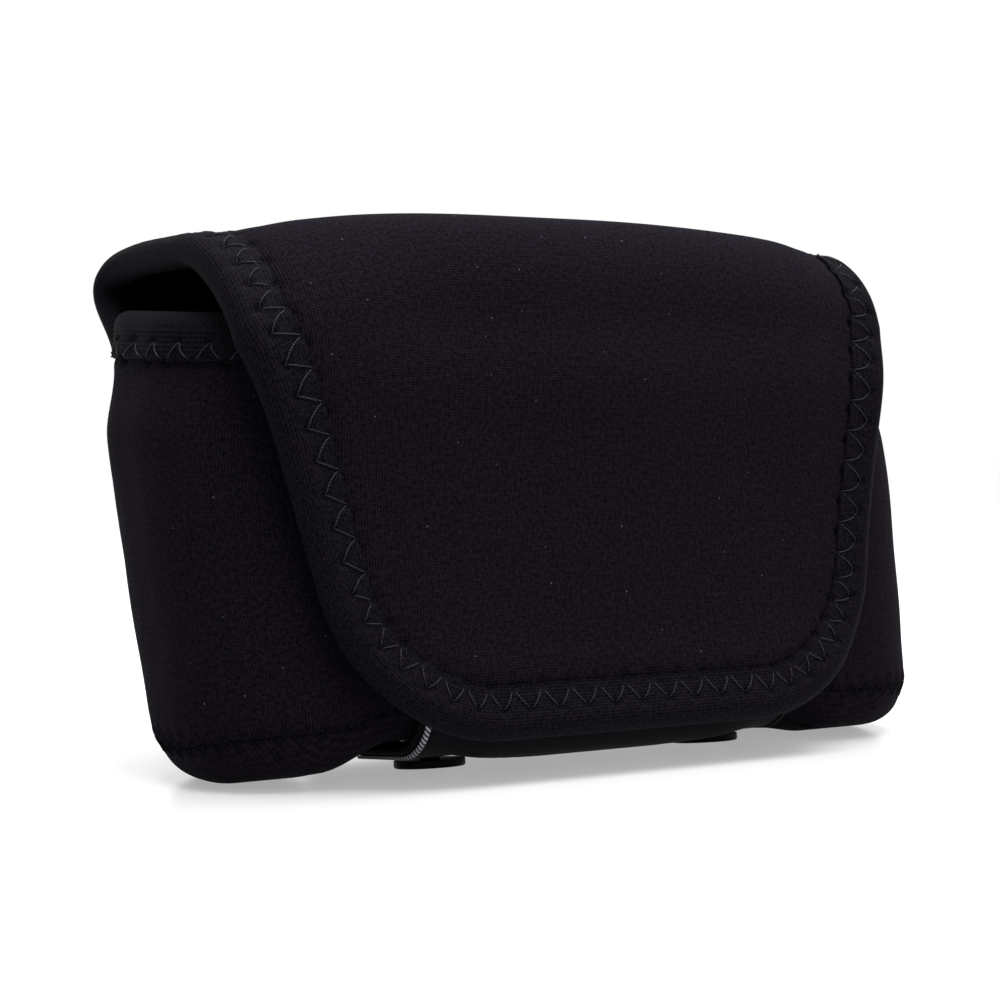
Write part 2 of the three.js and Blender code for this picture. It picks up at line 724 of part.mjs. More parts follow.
add('loop_patch', slab((u, v, n) => {
  const x = flapCentre + (2 * u - 1) * patchHalfWidth;
  const height = patchLow + (patchHigh - patchLow) * v;
  const turn = 0.5 + x / (2 * (halfWidth(height) - corner(height)));
  return wallPoint(turn, lengthAtStand(x, height), n + gap);
}, 6, 4, 0, patchThickness), hookTape);

// The strap's tail lies under the base, from the fold at the back to the front's curve
const foldBack = baseHalfDepth - bottomFillet;
const tailRun = 2 * foldBack + baseCrown;

function underPoint(x, along, offset) {
  if (along < tailRun) return stand(x, foldBack - along, -offset);
  const [z, grow] = wallProfile(along - tailRun, offset);
  return stand(x, -(halfDepth(z) + grow + baseCrown), z);
}

const tailLength = tailRun + strapUpFront;

// A layer of the tail, with closer steps where it curves up at the front
function tailSlab(from, halfWide, low, high) {
  const rows = [...steps(from, tailRun, 10), ...steps(tailRun, tailLength, 6).slice(1)];
  return slab((u, v, n) => {
    const x = strapCentre + (2 * u - 1) * halfWide;
    return underPoint(x, rows[Math.round(v * (rows.length - 1))], n);
  }, 1, rows.length - 1, low, high);
}

add('strap_tail', drilled(tailSlab(gap / 2, strapHalfWidth, strapGap, strapRoom), [postHole]), webbing);
const labelStart = foldBack + snapForward - labelBack;
add('tail_label', drilled(
  tailSlab(labelStart, strapHalfWidth - labelMargin, strapRoom + gap, labelFace),
  [postHole],
), woven);

// The rest of the strap climbs the back and makes the belt loop
const behind = (z, offset) => new THREE.Vector2(backFace(strapCentre, z) + offset, z);
const fold = underPoint(strapCentre, -gap / 2, strapGap + strapThickness / 2);
const foldStart = new THREE.Vector2(fold.y, fold.z);
const beltFrom = behind(beltLow, beltRoom + strapThickness / 2);
const beltTo = behind(beltHigh, beltRoom + strapThickness / 2);
const beltWay = beltTo.clone().sub(beltFrom).normalize();
const sewnFrom = behind(strapTop - strapSewn, gap + strapThickness / 2);
const sewnTo = behind(strapTop, gap + strapThickness / 2);
const sewnWay = sewnTo.clone().sub(sewnFrom).normalize();
const beltPath = new THREE.CurvePath();
beltPath.add(new THREE.CubicBezierCurve(
  foldStart,
  foldStart.clone().add(new THREE.Vector2(foldReach, 0)),
  beltFrom.clone().addScaledVector(beltWay, -foldRise),
  beltFrom,
));
beltPath.add(new THREE.LineCurve(beltFrom, beltTo));
beltPath.add(new THREE.CubicBezierCurve(
  beltTo,
  beltTo.clone().addScaledVector(beltWay, sewnEase),
  sewnFrom.clone().addScaledVector(sewnWay, -sewnEase),
  sewnFrom,
));
beltPath.add(new THREE.LineCurve(sewnFrom, sewnTo));

add('belt_strap', slab((u, v, n) => {
  const p = beltPath.getPointAt(v);
  const way = beltPath.getTangentAt(v);
  const x = strapCentre + (2 * u - 1) * strapHalfWidth;
  return new THREE.Vector3(x, p.x + way.y * n, p.y - way.x * n);
}, 1, 26, -strapThickness / 2, strapThickness / 2), webbing);

// The snaps. Heights are measured from the base's underside, into the base.
const ringLow = -strapGap + gap;
const studTop = recessDepth - gap;
const ringTop = studTop - studFlange - gap;
const postEnd = ringLow + ringFloor;

// A ring with a narrow floor under its bore
function socketRing() {
  return turned([
    [postRadius + gap, ringLow], [ringRadius, ringLow], [ringRadius, ringTop], [studRadius + gap, ringTop],
    [studRadius + gap, postEnd], [postRadius + gap, postEnd], [postRadius + gap, ringLow],
  ]);
}

for (const [side, frame] of Object.entries(snapFrames)) {
  group.add(frame);
  add(`snap_cap_${side}`, turned([
    [0, -capFace], [capRadius - capBevel, -capFace], [capRadius, -capFace + capBevel],
    [capRadius, -capFace + capThickness], [postRadius, -capFace + capThickness], [postRadius, postEnd], [0, postEnd],
  ]), capPlastic, frame);
  add(`snap_socket_${side}`, socketRing(), steel, frame);
  add(`snap_stud_${side}`, turned([
    [0, postEnd + gap], [studRadius, postEnd + gap], [studRadius, studTop - studFlange],
    [ringRadius, studTop - studFlange], [ringRadius, studTop], [0, studTop],
  ]), steel, frame);
  add(`snap_plate_${side}`, turned([
    [0, recessDepth], [postRadius, recessDepth], [postRadius, foam + gap], [capRadius, foam + gap],
    [capRadius, foam + gap + capThickness], [0, foam + gap + capThickness],
  ]), steel, frame);
}

// The origin is the middle of the part's footprint, on the floor
const bounds = new THREE.Box3().setFromObject(group, true);
const middle = bounds.getCenter(new THREE.Vector3());
group.position.set(-middle.x, -middle.y, -bounds.min.z);

export default group;
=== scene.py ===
"""A sewn foam-rubber camera pouch, closed and standing on a glossy white floor.

Sizes are in millimetres and turned to metres where a mesh is made. X runs across the width,
the flap's front looks towards -Y, and the floor is z = 0.
"""

import json
import math

import bpy
import numpy as np
from mathutils import Matrix, Vector
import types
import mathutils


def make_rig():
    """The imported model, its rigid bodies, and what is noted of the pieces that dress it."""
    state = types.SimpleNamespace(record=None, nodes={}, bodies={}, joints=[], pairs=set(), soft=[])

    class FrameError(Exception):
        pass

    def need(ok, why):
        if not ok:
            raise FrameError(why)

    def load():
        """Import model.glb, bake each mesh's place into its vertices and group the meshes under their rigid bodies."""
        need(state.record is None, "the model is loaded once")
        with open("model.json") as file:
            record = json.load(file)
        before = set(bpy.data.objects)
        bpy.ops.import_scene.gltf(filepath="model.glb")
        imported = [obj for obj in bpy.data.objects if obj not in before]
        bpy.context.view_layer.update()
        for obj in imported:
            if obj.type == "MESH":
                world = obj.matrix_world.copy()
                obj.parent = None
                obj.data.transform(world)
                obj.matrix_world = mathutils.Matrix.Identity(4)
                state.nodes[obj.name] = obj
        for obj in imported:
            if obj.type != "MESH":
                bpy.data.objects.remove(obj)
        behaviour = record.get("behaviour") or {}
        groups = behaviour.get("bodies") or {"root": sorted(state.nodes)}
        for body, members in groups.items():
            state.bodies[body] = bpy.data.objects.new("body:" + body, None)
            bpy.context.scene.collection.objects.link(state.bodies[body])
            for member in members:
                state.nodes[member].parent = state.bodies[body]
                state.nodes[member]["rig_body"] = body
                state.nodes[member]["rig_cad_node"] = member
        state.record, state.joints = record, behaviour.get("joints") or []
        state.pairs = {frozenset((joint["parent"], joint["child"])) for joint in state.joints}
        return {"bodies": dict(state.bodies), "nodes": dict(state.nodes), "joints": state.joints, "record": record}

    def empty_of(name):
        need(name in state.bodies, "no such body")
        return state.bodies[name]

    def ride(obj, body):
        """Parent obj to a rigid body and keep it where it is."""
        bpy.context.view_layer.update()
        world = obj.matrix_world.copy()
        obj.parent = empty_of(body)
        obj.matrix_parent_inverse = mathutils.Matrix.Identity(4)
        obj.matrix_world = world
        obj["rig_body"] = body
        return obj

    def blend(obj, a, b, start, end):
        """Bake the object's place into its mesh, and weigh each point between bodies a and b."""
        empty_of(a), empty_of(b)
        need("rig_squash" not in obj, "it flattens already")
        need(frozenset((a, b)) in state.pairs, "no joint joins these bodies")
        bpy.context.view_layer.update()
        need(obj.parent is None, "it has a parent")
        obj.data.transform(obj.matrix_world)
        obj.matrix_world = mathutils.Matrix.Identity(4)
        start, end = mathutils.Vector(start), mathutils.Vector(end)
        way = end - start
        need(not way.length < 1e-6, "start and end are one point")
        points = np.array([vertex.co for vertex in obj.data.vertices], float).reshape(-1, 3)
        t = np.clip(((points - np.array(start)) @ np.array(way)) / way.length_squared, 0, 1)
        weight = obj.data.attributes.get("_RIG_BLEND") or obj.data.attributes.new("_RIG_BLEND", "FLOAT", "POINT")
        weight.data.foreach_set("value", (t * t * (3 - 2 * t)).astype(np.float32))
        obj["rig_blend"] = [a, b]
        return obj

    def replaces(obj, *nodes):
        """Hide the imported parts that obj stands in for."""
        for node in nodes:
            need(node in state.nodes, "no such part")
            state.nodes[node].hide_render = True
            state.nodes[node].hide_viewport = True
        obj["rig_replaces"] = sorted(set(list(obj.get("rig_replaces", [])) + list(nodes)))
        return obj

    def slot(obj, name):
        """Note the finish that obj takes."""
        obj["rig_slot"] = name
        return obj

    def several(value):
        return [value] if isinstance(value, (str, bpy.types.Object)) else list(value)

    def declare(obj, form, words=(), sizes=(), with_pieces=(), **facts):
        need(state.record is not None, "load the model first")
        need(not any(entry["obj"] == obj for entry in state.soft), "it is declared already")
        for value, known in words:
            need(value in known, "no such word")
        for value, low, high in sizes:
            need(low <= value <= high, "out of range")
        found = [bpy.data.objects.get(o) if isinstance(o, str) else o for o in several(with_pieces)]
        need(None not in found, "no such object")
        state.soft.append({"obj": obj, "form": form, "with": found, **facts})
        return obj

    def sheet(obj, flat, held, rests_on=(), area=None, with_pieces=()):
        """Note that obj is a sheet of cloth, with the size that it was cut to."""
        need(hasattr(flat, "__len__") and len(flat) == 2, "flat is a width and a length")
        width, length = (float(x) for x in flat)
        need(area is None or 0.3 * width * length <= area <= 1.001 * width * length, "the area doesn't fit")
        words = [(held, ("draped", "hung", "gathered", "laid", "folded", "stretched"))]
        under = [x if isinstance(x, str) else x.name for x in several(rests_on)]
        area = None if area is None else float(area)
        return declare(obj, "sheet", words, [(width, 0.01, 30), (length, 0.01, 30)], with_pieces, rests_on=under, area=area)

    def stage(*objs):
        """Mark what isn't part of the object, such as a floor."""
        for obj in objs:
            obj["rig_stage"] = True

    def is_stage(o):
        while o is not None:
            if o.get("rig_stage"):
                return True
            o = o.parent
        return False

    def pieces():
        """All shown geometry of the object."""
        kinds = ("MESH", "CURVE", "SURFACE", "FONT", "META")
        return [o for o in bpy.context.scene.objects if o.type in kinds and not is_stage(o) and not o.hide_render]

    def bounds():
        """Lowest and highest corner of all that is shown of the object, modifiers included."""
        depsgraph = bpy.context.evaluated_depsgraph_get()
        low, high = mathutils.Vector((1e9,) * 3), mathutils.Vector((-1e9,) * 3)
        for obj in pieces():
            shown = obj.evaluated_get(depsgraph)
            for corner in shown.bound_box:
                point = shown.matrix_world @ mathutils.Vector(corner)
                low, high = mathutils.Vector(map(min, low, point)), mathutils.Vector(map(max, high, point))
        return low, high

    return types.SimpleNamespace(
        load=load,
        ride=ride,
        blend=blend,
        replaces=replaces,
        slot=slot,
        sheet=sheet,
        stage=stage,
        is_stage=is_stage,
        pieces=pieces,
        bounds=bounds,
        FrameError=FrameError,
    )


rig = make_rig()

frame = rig.load()
cad_box = [list(corner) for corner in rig.bounds()]

# Camera: it looks at the pouch's front from the left and a little above, from 340 mm away,
# as through a 76 mm lens on a 36 mm sensor.
lens = bpy.data.cameras.new("camera")
lens.lens = 75.6
lens.sensor_width = 36
lens.clip_start = 0.01
lens.clip_end = 30
camera = bpy.data.objects.new("camera", lens)
camera.location = (-0.1887, -0.28265, 0.0465)
camera.rotation_euler = (math.radians(90 - 1.173), 0, math.radians(-33))
bpy.context.collection.objects.link(camera)
bpy.context.scene.camera = camera


# Studio: a sheet of glossy white acrylic under soft light from overhead. The room is white all
# round, and the board keeps the pouch's shadow and a faint, blurred picture of it.
def colour(value):
    """Linear colour of an sRGB hex value."""
    parts = [int(value[k : k + 2], 16) / 255 for k in (1, 3, 5)]
    linear = [c / 12.92 if c <= 0.04045 else ((c + 0.055) / 1.055) ** 2.4 for c in parts]
    return (*linear, 1)


def node(tree, kind, inputs=(), **settings):
    """Adds a node with its settings. Each input gets a plain value or a link."""
    made = tree.nodes.new(kind)
    for name, value in settings.items():
        setattr(made, name, value)
    for key, value in dict(inputs).items():
        if isinstance(value, bpy.types.NodeSocket):
            tree.links.new(value, made.inputs[key])
        else:
            made.inputs[key].default_value = value
    return made


def new_material(name):
    """An empty material, its node tree, and its output."""
    made = bpy.data.materials.new(name)
    made.use_nodes = True
    made.node_tree.nodes.clear()
    return made, made.node_tree, node(made.node_tree, "ShaderNodeOutputMaterial")


def seen_rays(tree):
    """The light path, and 1 on rays from the camera or from gloss, which see the room as white."""
    path = node(tree, "ShaderNodeLightPath")
    return path, node(tree, "ShaderNodeMath", {
        0: path.outputs["Is Camera Ray"],
        1: path.outputs["Is Glossy Ray"],
    }, operation="MAXIMUM")


acrylic, tree, output = new_material("white_acrylic_board")
gloss = node(tree, "ShaderNodeBsdfPrincipled", {
    "Base Color": colour("#d0d0d0"),
    "Roughness": 0.22,
    "IOR": 1.49,
    "Specular IOR Level": 0.32,
})
_, seen = seen_rays(tree)
glow = node(tree, "ShaderNodeEmission", {"Color": (1, 1, 1, 1), "Strength": 0.36})
none = node(tree, "ShaderNodeEmission", {"Color": (0, 0, 0, 1), "Strength": 0})
lifted = node(tree, "ShaderNodeMixShader", {
    0: seen.outputs[0], 1: none.outputs[0], 2: glow.outputs[0],
})
both = node(tree, "ShaderNodeAddShader", {0: gloss.outputs[0], 1: lifted.outputs[0]})
tree.links.new(both.outputs[0], output.inputs["Surface"])

half_board = 6  # metres: its edges are out of sight
board_corners = [
    (x * half_board, y * half_board, 0) for x, y in ((-1, -1), (1, -1), (1, 1), (-1, 1))
]
board = bpy.data.meshes.new("floor")
board.from_pydata(board_corners, [], [(0, 1, 2, 3)])
board.materials.append(acrylic)
floor = bpy.data.objects.new("floor", board)
bpy.context.collection.objects.link(floor)
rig.stage(floor)

world = bpy.data.worlds.new("white_room")
bpy.context.scene.world = world
world.use_nodes = True
tree = world.node_tree
tree.nodes.clear()
path, seen = seen_rays(tree)
seen = node(tree, "ShaderNodeMath", {
    0: seen.outputs[0],
    1: path.outputs["Is Transmission Ray"],
}, operation="MAXIMUM")
dim = node(tree, "ShaderNodeBackground", {"Color": (1, 1, 1, 1), "Strength": 0.27})
white = node(tree, "ShaderNodeBackground", {"Color": (1, 1, 1, 1), "Strength": 1})
mixed = node(tree, "ShaderNodeMixShader", {
    0: seen.outputs[0], 1: dim.outputs[0], 2: white.outputs[0],
})
output = node(tree, "ShaderNodeOutputWorld", {"Surface": mixed.outputs[0]})

for name, place, aim, size, power in [
    ("overhead_softbox", (0.1, -0.05, 0.9), (0, 0, 0.04), 0.8, 15.5),
    ("front_softbox", (0.05, -1.0, 0.75), (0, 0, 0.04), 0.6, 1.8),
]:
    lamp = bpy.data.lights.new(name, "AREA")
    lamp.size = size
    lamp.energy = power
    box = bpy.data.objects.new(name, lamp)
    box.location = place
    box.rotation_euler = (Vector(aim) - Vector(place)).to_track_quat("-Z", "Y").to_euler()
    bpy.context.collection.objects.link(box)
bpy.context.scene.view_settings.view_transform = "Standard"


# Front wrap: one piece of 3 mm neoprene, a foamed rubber sheet with a nylon jersey on both faces,
# bent round the front and both sides. It is sewn edge to edge to the base and the back panel.
foam, gap = 3, 0.3  # sheet thickness, and the room between pieces that touch
foot_y, lean = -10.5499, 0.226  # middle of the base, and how far the body leans back per mm up
belly_height, hem_height, rim_height, rim_rise = 49, 60.5, 67.1, 1.8
half_widths = 67, 69.6, 66.5, 64.6  # at the base, the belly, the mouth tape's hem and the rim
half_depths = 18.6, 19.2, 20.2, 19.6
crowns = 0.8, 2.4, 2, 2  # how far the middle of the front stands out past its corners
back_swells = 0, 0, 2.4, 4.2  # and the back past its half depth
corner_radius, bottom_fillet = 16.8, 8
# Ahead of a line the base rises off the floor, less steeply over the strap. The rise fades out
# up the walls and beside the strap.
floor_start, base_slope, strap_slope, lift_ease = 1.3, 0.2, 0.1, 6
lift_reach, lift_spread = 35, 12
strap_centre, strap_half_width, strap_gap, strap_thickness = -2.3, 34.5, 0.9, 1.4
label_thickness = 0.4
# The base seam's height up the bottom curve, and where the back seams are and how wide they open
seam_rise, seam_turn, seam_slit = 9.5, 0.3, 0.004
seam_pitch, seam_width, seam_slack = 3.2, 3.4, 0.03
tape, tape_width = 0.8, 7.2
lift_half_width = strap_half_width + 3 * gap
strap_room = strap_gap + strap_thickness


def ease(t):
    """Smooth step from 0 to 1."""
    t = np.clip(t, 0, 1)
    return t * t * (3 - 2 * t)


def level(z, base, belly, hem, rim):
    """A value at one height, eased between the base, belly, hem and rim."""
    low = base + (belly - base) * ease(z / belly_height)
    middle = belly + (hem - belly) * ease((z - belly_height) / (hem_height - belly_height))
    high = hem + (rim - hem) * ease((z - hem_height) / (rim_height - hem_height))
    return np.where(z < belly_height, low, np.where(z < hem_height, middle, high))


def half_width(z):
    """Half the body's width at a height."""
    return level(z, *half_widths)


def half_depth(z):
    """Half the body's depth at a height, between its corners."""
    return level(z, *half_depths)


def corner(z):
    """The radius of the body's upright corners at a height."""
    return np.minimum(corner_radius, half_depth(z) - 1)


def crown(x, z):
    """How far the front stands out past its corners at one place."""
    return level(z, *crowns) * np.maximum(0, 1 - (x / half_width(z)) ** 2)


def back_swell(z):
    """How much more the back stands out near the mouth, as a share."""
    return level(z, *back_swells) / half_depth(z)


def rise(y, start, slope):
    """How far the front of the base curls up off the floor, ahead of a line."""
    run = np.maximum(start - y, 0)
    eased = slope * run**2 / (2 * lift_ease)
    return np.where(run < lift_ease, eased, slope * (run - lift_ease / 2))


# The strap and the snaps lie under the base, and the caps' back edges touch the floor
label_face = strap_room + gap + label_thickness
cap_radius, cap_thickness = 5.35, 1.2
cap_face = label_face + gap + cap_thickness
snap_forward, snap_spacing = 6.5, 51.8
snap_lean = math.atan(strap_slope / (1 - lean * strap_slope))
snap_rise = cap_face * math.cos(snap_lean) + cap_radius * math.sin(snap_lean) - strap_room
strap_floor_start = snap_rise / strap_slope + lift_ease / 2 - snap_forward


def lift(x, y):
    """How far the base is held off the floor at one place."""
    over_strap = 1 - ease((np.abs(x - strap_centre) - lift_half_width) / lift_spread)
    free = rise(y, floor_start, base_slope)
    return free + (rise(y, strap_floor_start, strap_slope) + strap_room - free) * over_strap


def stand(x, y, z):
    """Puts points of the upright, flat-bottomed body where they stand."""
    x, y, z = np.broadcast_arrays(x, y, z)
    height = z + lift(x, y) * (1 - ease(z / lift_reach))
    return np.stack([x, y + foot_y + lean * height, height], axis=-1)


def outline(turn, z, grow):
    """The body's outline: front, corner, right side, corner, back, corner, left side, corner."""
    turn, z, grow = np.broadcast_arrays(np.asarray(turn, float), z, grow)
    wrapped = np.mod(turn, 8)
    stretch = np.floor(wrapped).astype(int)
    part = wrapped - stretch
    quarter = stretch // 2
    flat = stretch % 2 == 0
    radius = corner(z)
    far_x, far_y = half_width(z) - radius, half_depth(z) - radius
    angle = (quarter - 1) * np.pi / 2 + np.where(flat, 0, part * np.pi / 2)
    x = np.array([1, 1, -1, -1])[quarter] * far_x + (radius + grow) * np.cos(angle)
    y = np.array([-1, 1, 1, -1])[quarter] * far_y + (radius + grow) * np.sin(angle)
    x = x - np.where(flat, (1 - part) * 2 * far_x * np.array([1, 0, -1, 0])[quarter], 0)
    y = y - np.where(flat, (1 - part) * 2 * far_y * np.array([0, 1, 0, -1])[quarter], 0)
    return x, y + np.where(y < 0, -crown(x, z), y * back_swell(z))


def wall_point(turn, length, offset):
    """A point at a length up the wall from the flat of the base, and out of its outer face."""
    turn, length, offset = np.broadcast_arrays(np.asarray(turn, float), length, offset)
    angle = np.minimum(length / bottom_fillet, np.pi / 2)
    past = np.maximum(length - bottom_fillet * np.pi / 2, 0)
    reach = bottom_fillet + offset
    z = bottom_fillet - reach * np.cos(angle) + past
    x, y = outline(turn, z, reach * np.sin(angle) - bottom_fillet)
    return stand(x, y, z)


def length_at(z):
    """The length up the wall at a height above the bottom curve."""
    return z - bottom_fillet + bottom_fillet * np.pi / 2


def rim_length(turn):
    """The mouth climbs a little from the front to the back."""
    _, y = outline(turn, rim_height, 0)
    half = half_depth(rim_height)
    return length_at(rim_height + rim_rise * ease((y + half) / (2 * half)))


def round_edge(distance, radius):
    """How far a sheet's face falls back near its rounded edge."""
    inside = np.clip(distance, 0, radius)
    return radius - np.sqrt(np.maximum(0, radius**2 - (radius - inside) ** 2))


def ripple(a, b, seed):
    """Soft uneven swelling of cloth on foam, between -1 and 1, over places in millimetres."""
    total = 0
    for k, wave in enumerate((61, 43, 29, 19)):
        angle = 2.4 * k + seed
        way = a * math.cos(angle) + b * math.sin(angle)
        total = total + np.sin(way * 2 * np.pi / wave + 1.7 * k * seed)
    return total / 4


def put(name, points, faces, material, cloth):
    """Makes an object from points in millimetres, with its faces turned out. cloth is where each
    point lies on the flat cloth, in millimetres."""
    points = np.asarray(points, float).reshape(-1, 3)
    faces = np.asarray(faces)
    a, b, c = points[faces[:, 0]], points[faces[:, 1]], points[faces[:, 2]]
    volume = np.einsum("ij,ij->i", a, np.cross(b, c)).sum()
    if faces.shape[1] == 4:
        d = points[faces[:, 3]]
        volume += np.einsum("ij,ij->i", a, np.cross(c, d)).sum()
    if volume < 0:
        faces = faces[:, ::-1]
    mesh = bpy.data.meshes.new(name)
    mesh.from_pydata((points / 1000).tolist(), [], faces.tolist())
    mesh.shade_smooth()
    mesh.set_sharp_from_angle(angle=math.radians(60))
    flat = np.asarray(cloth, float).reshape(-1, 2) / 1000
    corners = np.empty(len(mesh.loops), int)
    mesh.loops.foreach_get("vertex_index", corners)
    layer = mesh.uv_layers.new(name="cloth")
    layer.data.foreach_set("uv", flat[corners].ravel())
    mesh.materials.append(material)
    made = bpy.data.objects.new(name, mesh)
    bpy.context.collection.objects.link(made)
    return made


def layered(name, outer, inner, material, cloth):
    """A closed sheet between two grids of points, with its four edges joined."""
    across, along = outer.shape[:2]
    index = np.arange(across * along).reshape(across, along)
    back = index + across * along

    def quads(a, b, c, d):
        """Faces from four grids of corners."""
        return np.stack([a.ravel(), b.ravel(), c.ravel(), d.ravel()], axis=1)

    faces = [
        quads(index[:-1, :-1], index[1:, :-1], index[1:, 1:], index[:-1, 1:]),
        quads(back[:-1, :-1], back[:-1, 1:], back[1:, 1:], back[1:, :-1]),
        quads(index[:-1, 0], back[:-1, 0], back[1:, 0], index[1:, 0]),
        quads(index[:-1, -1], index[1:, -1], back[1:, -1], back[:-1, -1]),
        quads(index[0, :-1], index[0, 1:], back[0, 1:], back[0, :-1]),
        quads(index[-1, :-1], back[-1, :-1], back[-1, 1:], index[-1, 1:]),
    ]
    points = np.concatenate([outer.reshape(-1, 3), inner.reshape(-1, 3)])
    places = np.concatenate([cloth.reshape(-1, 2), cloth.reshape(-1, 2)])
    return put(name, points, np.concatenate(faces), material, places)


def knit(tree, wale, course, slant):
    """Height of a fine knit on the flat cloth, 0 to 1: columns of small V-shaped loops."""
    flat = node(tree, "ShaderNodeUVMap", uv_map="cloth")
    split = node(tree, "ShaderNodeSeparateXYZ", {0: flat.outputs[0]})
    column = node(tree, "ShaderNodeMath", {
        0: split.outputs["X"], 1: 1000 / wale,
    }, operation="MULTIPLY")
    column_way = node(tree, "ShaderNodeMath", {0: column.outputs[0], 1: 0.5}, operation="PINGPONG")
    row = node(tree, "ShaderNodeMath", {
        0: split.outputs["Y"], 1: 1000 / course,
    }, operation="MULTIPLY")
    leg = node(tree, "ShaderNodeMath", {
        0: column_way.outputs[0], 1: slant, 2: row.outputs[0],
    }, operation="MULTIPLY_ADD")
    turned = node(tree, "ShaderNodeMath", {0: leg.outputs[0], 1: 2 * math.pi}, operation="MULTIPLY")
    loop = node(tree, "ShaderNodeMath", {0: turned.outputs[0]}, operation="SINE")
    across = node(tree, "ShaderNodeMath", {
        0: column.outputs[0], 1: 2 * math.pi,
    }, operation="MULTIPLY")
    valley = node(tree, "ShaderNodeMath", {0: across.outputs[0]}, operation="COSINE")
    height = node(tree, "ShaderNodeMath", {
        0: loop.outputs[0], 1: valley.outputs[0],
    }, operation="ADD")
    return node(tree, "ShaderNodeMath", {
        0: height.outputs[0], 1: 0.25, 2: 0.5,
    }, operation="MULTIPLY_ADD")


def black_jersey(name, dark, light):
    """Black nylon jersey bonded to foam. Its wales are 0.42 mm apart. It is dull, with a faint
    sheen at grazing angles, uneven dye, and a few pale specks of lint."""
    material, tree, output = new_material(name)
    loops = knit(tree, 0.42, 0.34, 1.1)
    flat = node(tree, "ShaderNodeUVMap", uv_map="cloth")
    uneven = node(tree, "ShaderNodeTexNoise", {
        "Vector": flat.outputs[0], "Scale": 1600, "Detail": 3, "Roughness": 0.7,
    })
    blend = node(tree, "ShaderNodeMath", {
        0: loops.outputs[0], 1: 0.45, 2: uneven.outputs["Fac"],
    }, operation="MULTIPLY_ADD")
    tone = node(tree, "ShaderNodeMapRange", {
        "Value": blend.outputs[0], "From Min": 0.52, "From Max": 0.93,
    })
    yarn = node(tree, "ShaderNodeMix", {
        "Factor": tone.outputs[0], "A": colour(dark), "B": colour(light),
    }, data_type="RGBA")
    lint = node(tree, "ShaderNodeTexVoronoi", {
        "Vector": flat.outputs[0], "Scale": 150,
    }, voronoi_dimensions="2D")
    speck = node(tree, "ShaderNodeMapRange", {
        "Value": lint.outputs["Distance"], "From Min": 0.022, "From Max": 0.006,
    })
    chosen = node(tree, "ShaderNodeSeparateColor", {0: lint.outputs["Color"]})
    few = node(tree, "ShaderNodeMapRange", {"Value": chosen.outputs[0], "From Min": 0.6})
    dust = node(tree, "ShaderNodeMath", {
        0: speck.outputs[0], 1: few.outputs[0],
    }, operation="MULTIPLY")
    dusty = node(tree, "ShaderNodeMix", {
        "Factor": dust.outputs[0], "A": yarn.outputs["Result"], "B": colour("#6c6772"),
    }, data_type="RGBA")
    relief = node(tree, "ShaderNodeBump", {
        "Strength": 1, "Distance": 0.00024, "Height": blend.outputs[0],
    })
    cloth = node(tree, "ShaderNodeBsdfPrincipled", {
        "Base Color": dusty.outputs["Result"],
        "Roughness": 0.82,
        "IOR": 1.5,
        "Specular IOR Level": 0.02,
        "Sheen Weight": 0.016,
        "Sheen Roughness": 0.3,
        "Sheen Tint": colour("#9a90a0"),
        "Normal": relief.outputs[0],
    })
    tree.links.new(cloth.outputs[0], output.inputs["Surface"])
    return material


def shares(*stretches):
    """Steps along one line, from stretches of (from, to, count)."""
    steps = [np.linspace(low, high, count + 1)[1:] for low, high, count in stretches]
    return np.concatenate([[stretches[0][0]], *steps])


def run_along(points):
    """The length of a line of points up to each of them."""
    steps = np.linalg.norm(np.diff(points, axis=0), axis=1)
    return np.concatenate([[0], np.cumsum(steps)])


def arc_round(turns):
    """The length round the body's outline up to each turn."""
    return run_along(np.stack(outline(turns, bottom_fillet, 0), axis=-1))


jersey = black_jersey("nylon_jersey_on_neoprene", "#020203", "#1f1923")
wrap_turns = shares(
    (-2 - seam_turn + seam_slit, -2, 12), (-2, -1, 8), (-1, 0, 56), (0, 1, 150),
    (1, 2, 40), (2, 3, 8), (3, 3 + seam_turn - seam_slit, 12),
)
wrap_arc = arc_round(wrap_turns)
up = shares((0, 0.06, 6), (0.06, 0.84, 44), (0.84, 1, 20))
wrap_low = seam_rise + seam_slack
stitch_pitch, stitch_inset, stitch_width = 4.9, 4.4, 3.1  # the zigzag through the mouth tape
mouth_stitches = round(wrap_arc[-1] / stitch_pitch)
wrap_high = rim_length(wrap_turns) - tape - gap
turn, share = np.meshgrid(wrap_turns, up, indexing="ij")
arc = np.repeat(wrap_arc[:, None], len(up), axis=1)
length = wrap_low + (wrap_high[:, None] - wrap_low) * share
below_rim = rim_length(wrap_turns)[:, None] - length


def seam_dip(length):
    """How far the base seam's stitches draw the sheets in on both sides of it."""
    return 0.45 * np.exp(-((length - seam_rise) / 3) ** 2)


def wall_relief(arc, length, below_rim):
    """Soft swelling of the foam walls, drawn in by the seam stitches and under the mouth
    tape."""
    swell = 0.45 * ripple(arc, length, 1.3) * ease((length - 9) / 14) * ease((below_rim - 9) / 12)
    above_seam = length - seam_rise - seam_width / 2 - 0.2
    pucker = 0.25 * np.cos(arc * 2 * np.pi / seam_pitch) * np.exp(-(above_seam / 1.3) ** 2)
    from_hole = np.abs(np.mod(arc * mouth_stitches / wrap_arc[-1], 1) - 0.5) * stitch_pitch
    past_row = below_rim - stitch_inset - stitch_width
    holes = 0.7 * np.exp(-(past_row / 0.8) ** 2 - (from_hole / 0.7) ** 2)
    under_tape = 0.5 * ease((tape_width + 1.5 - below_rim) / 2.5)
    return swell - seam_dip(length) + pucker - holes - under_tape


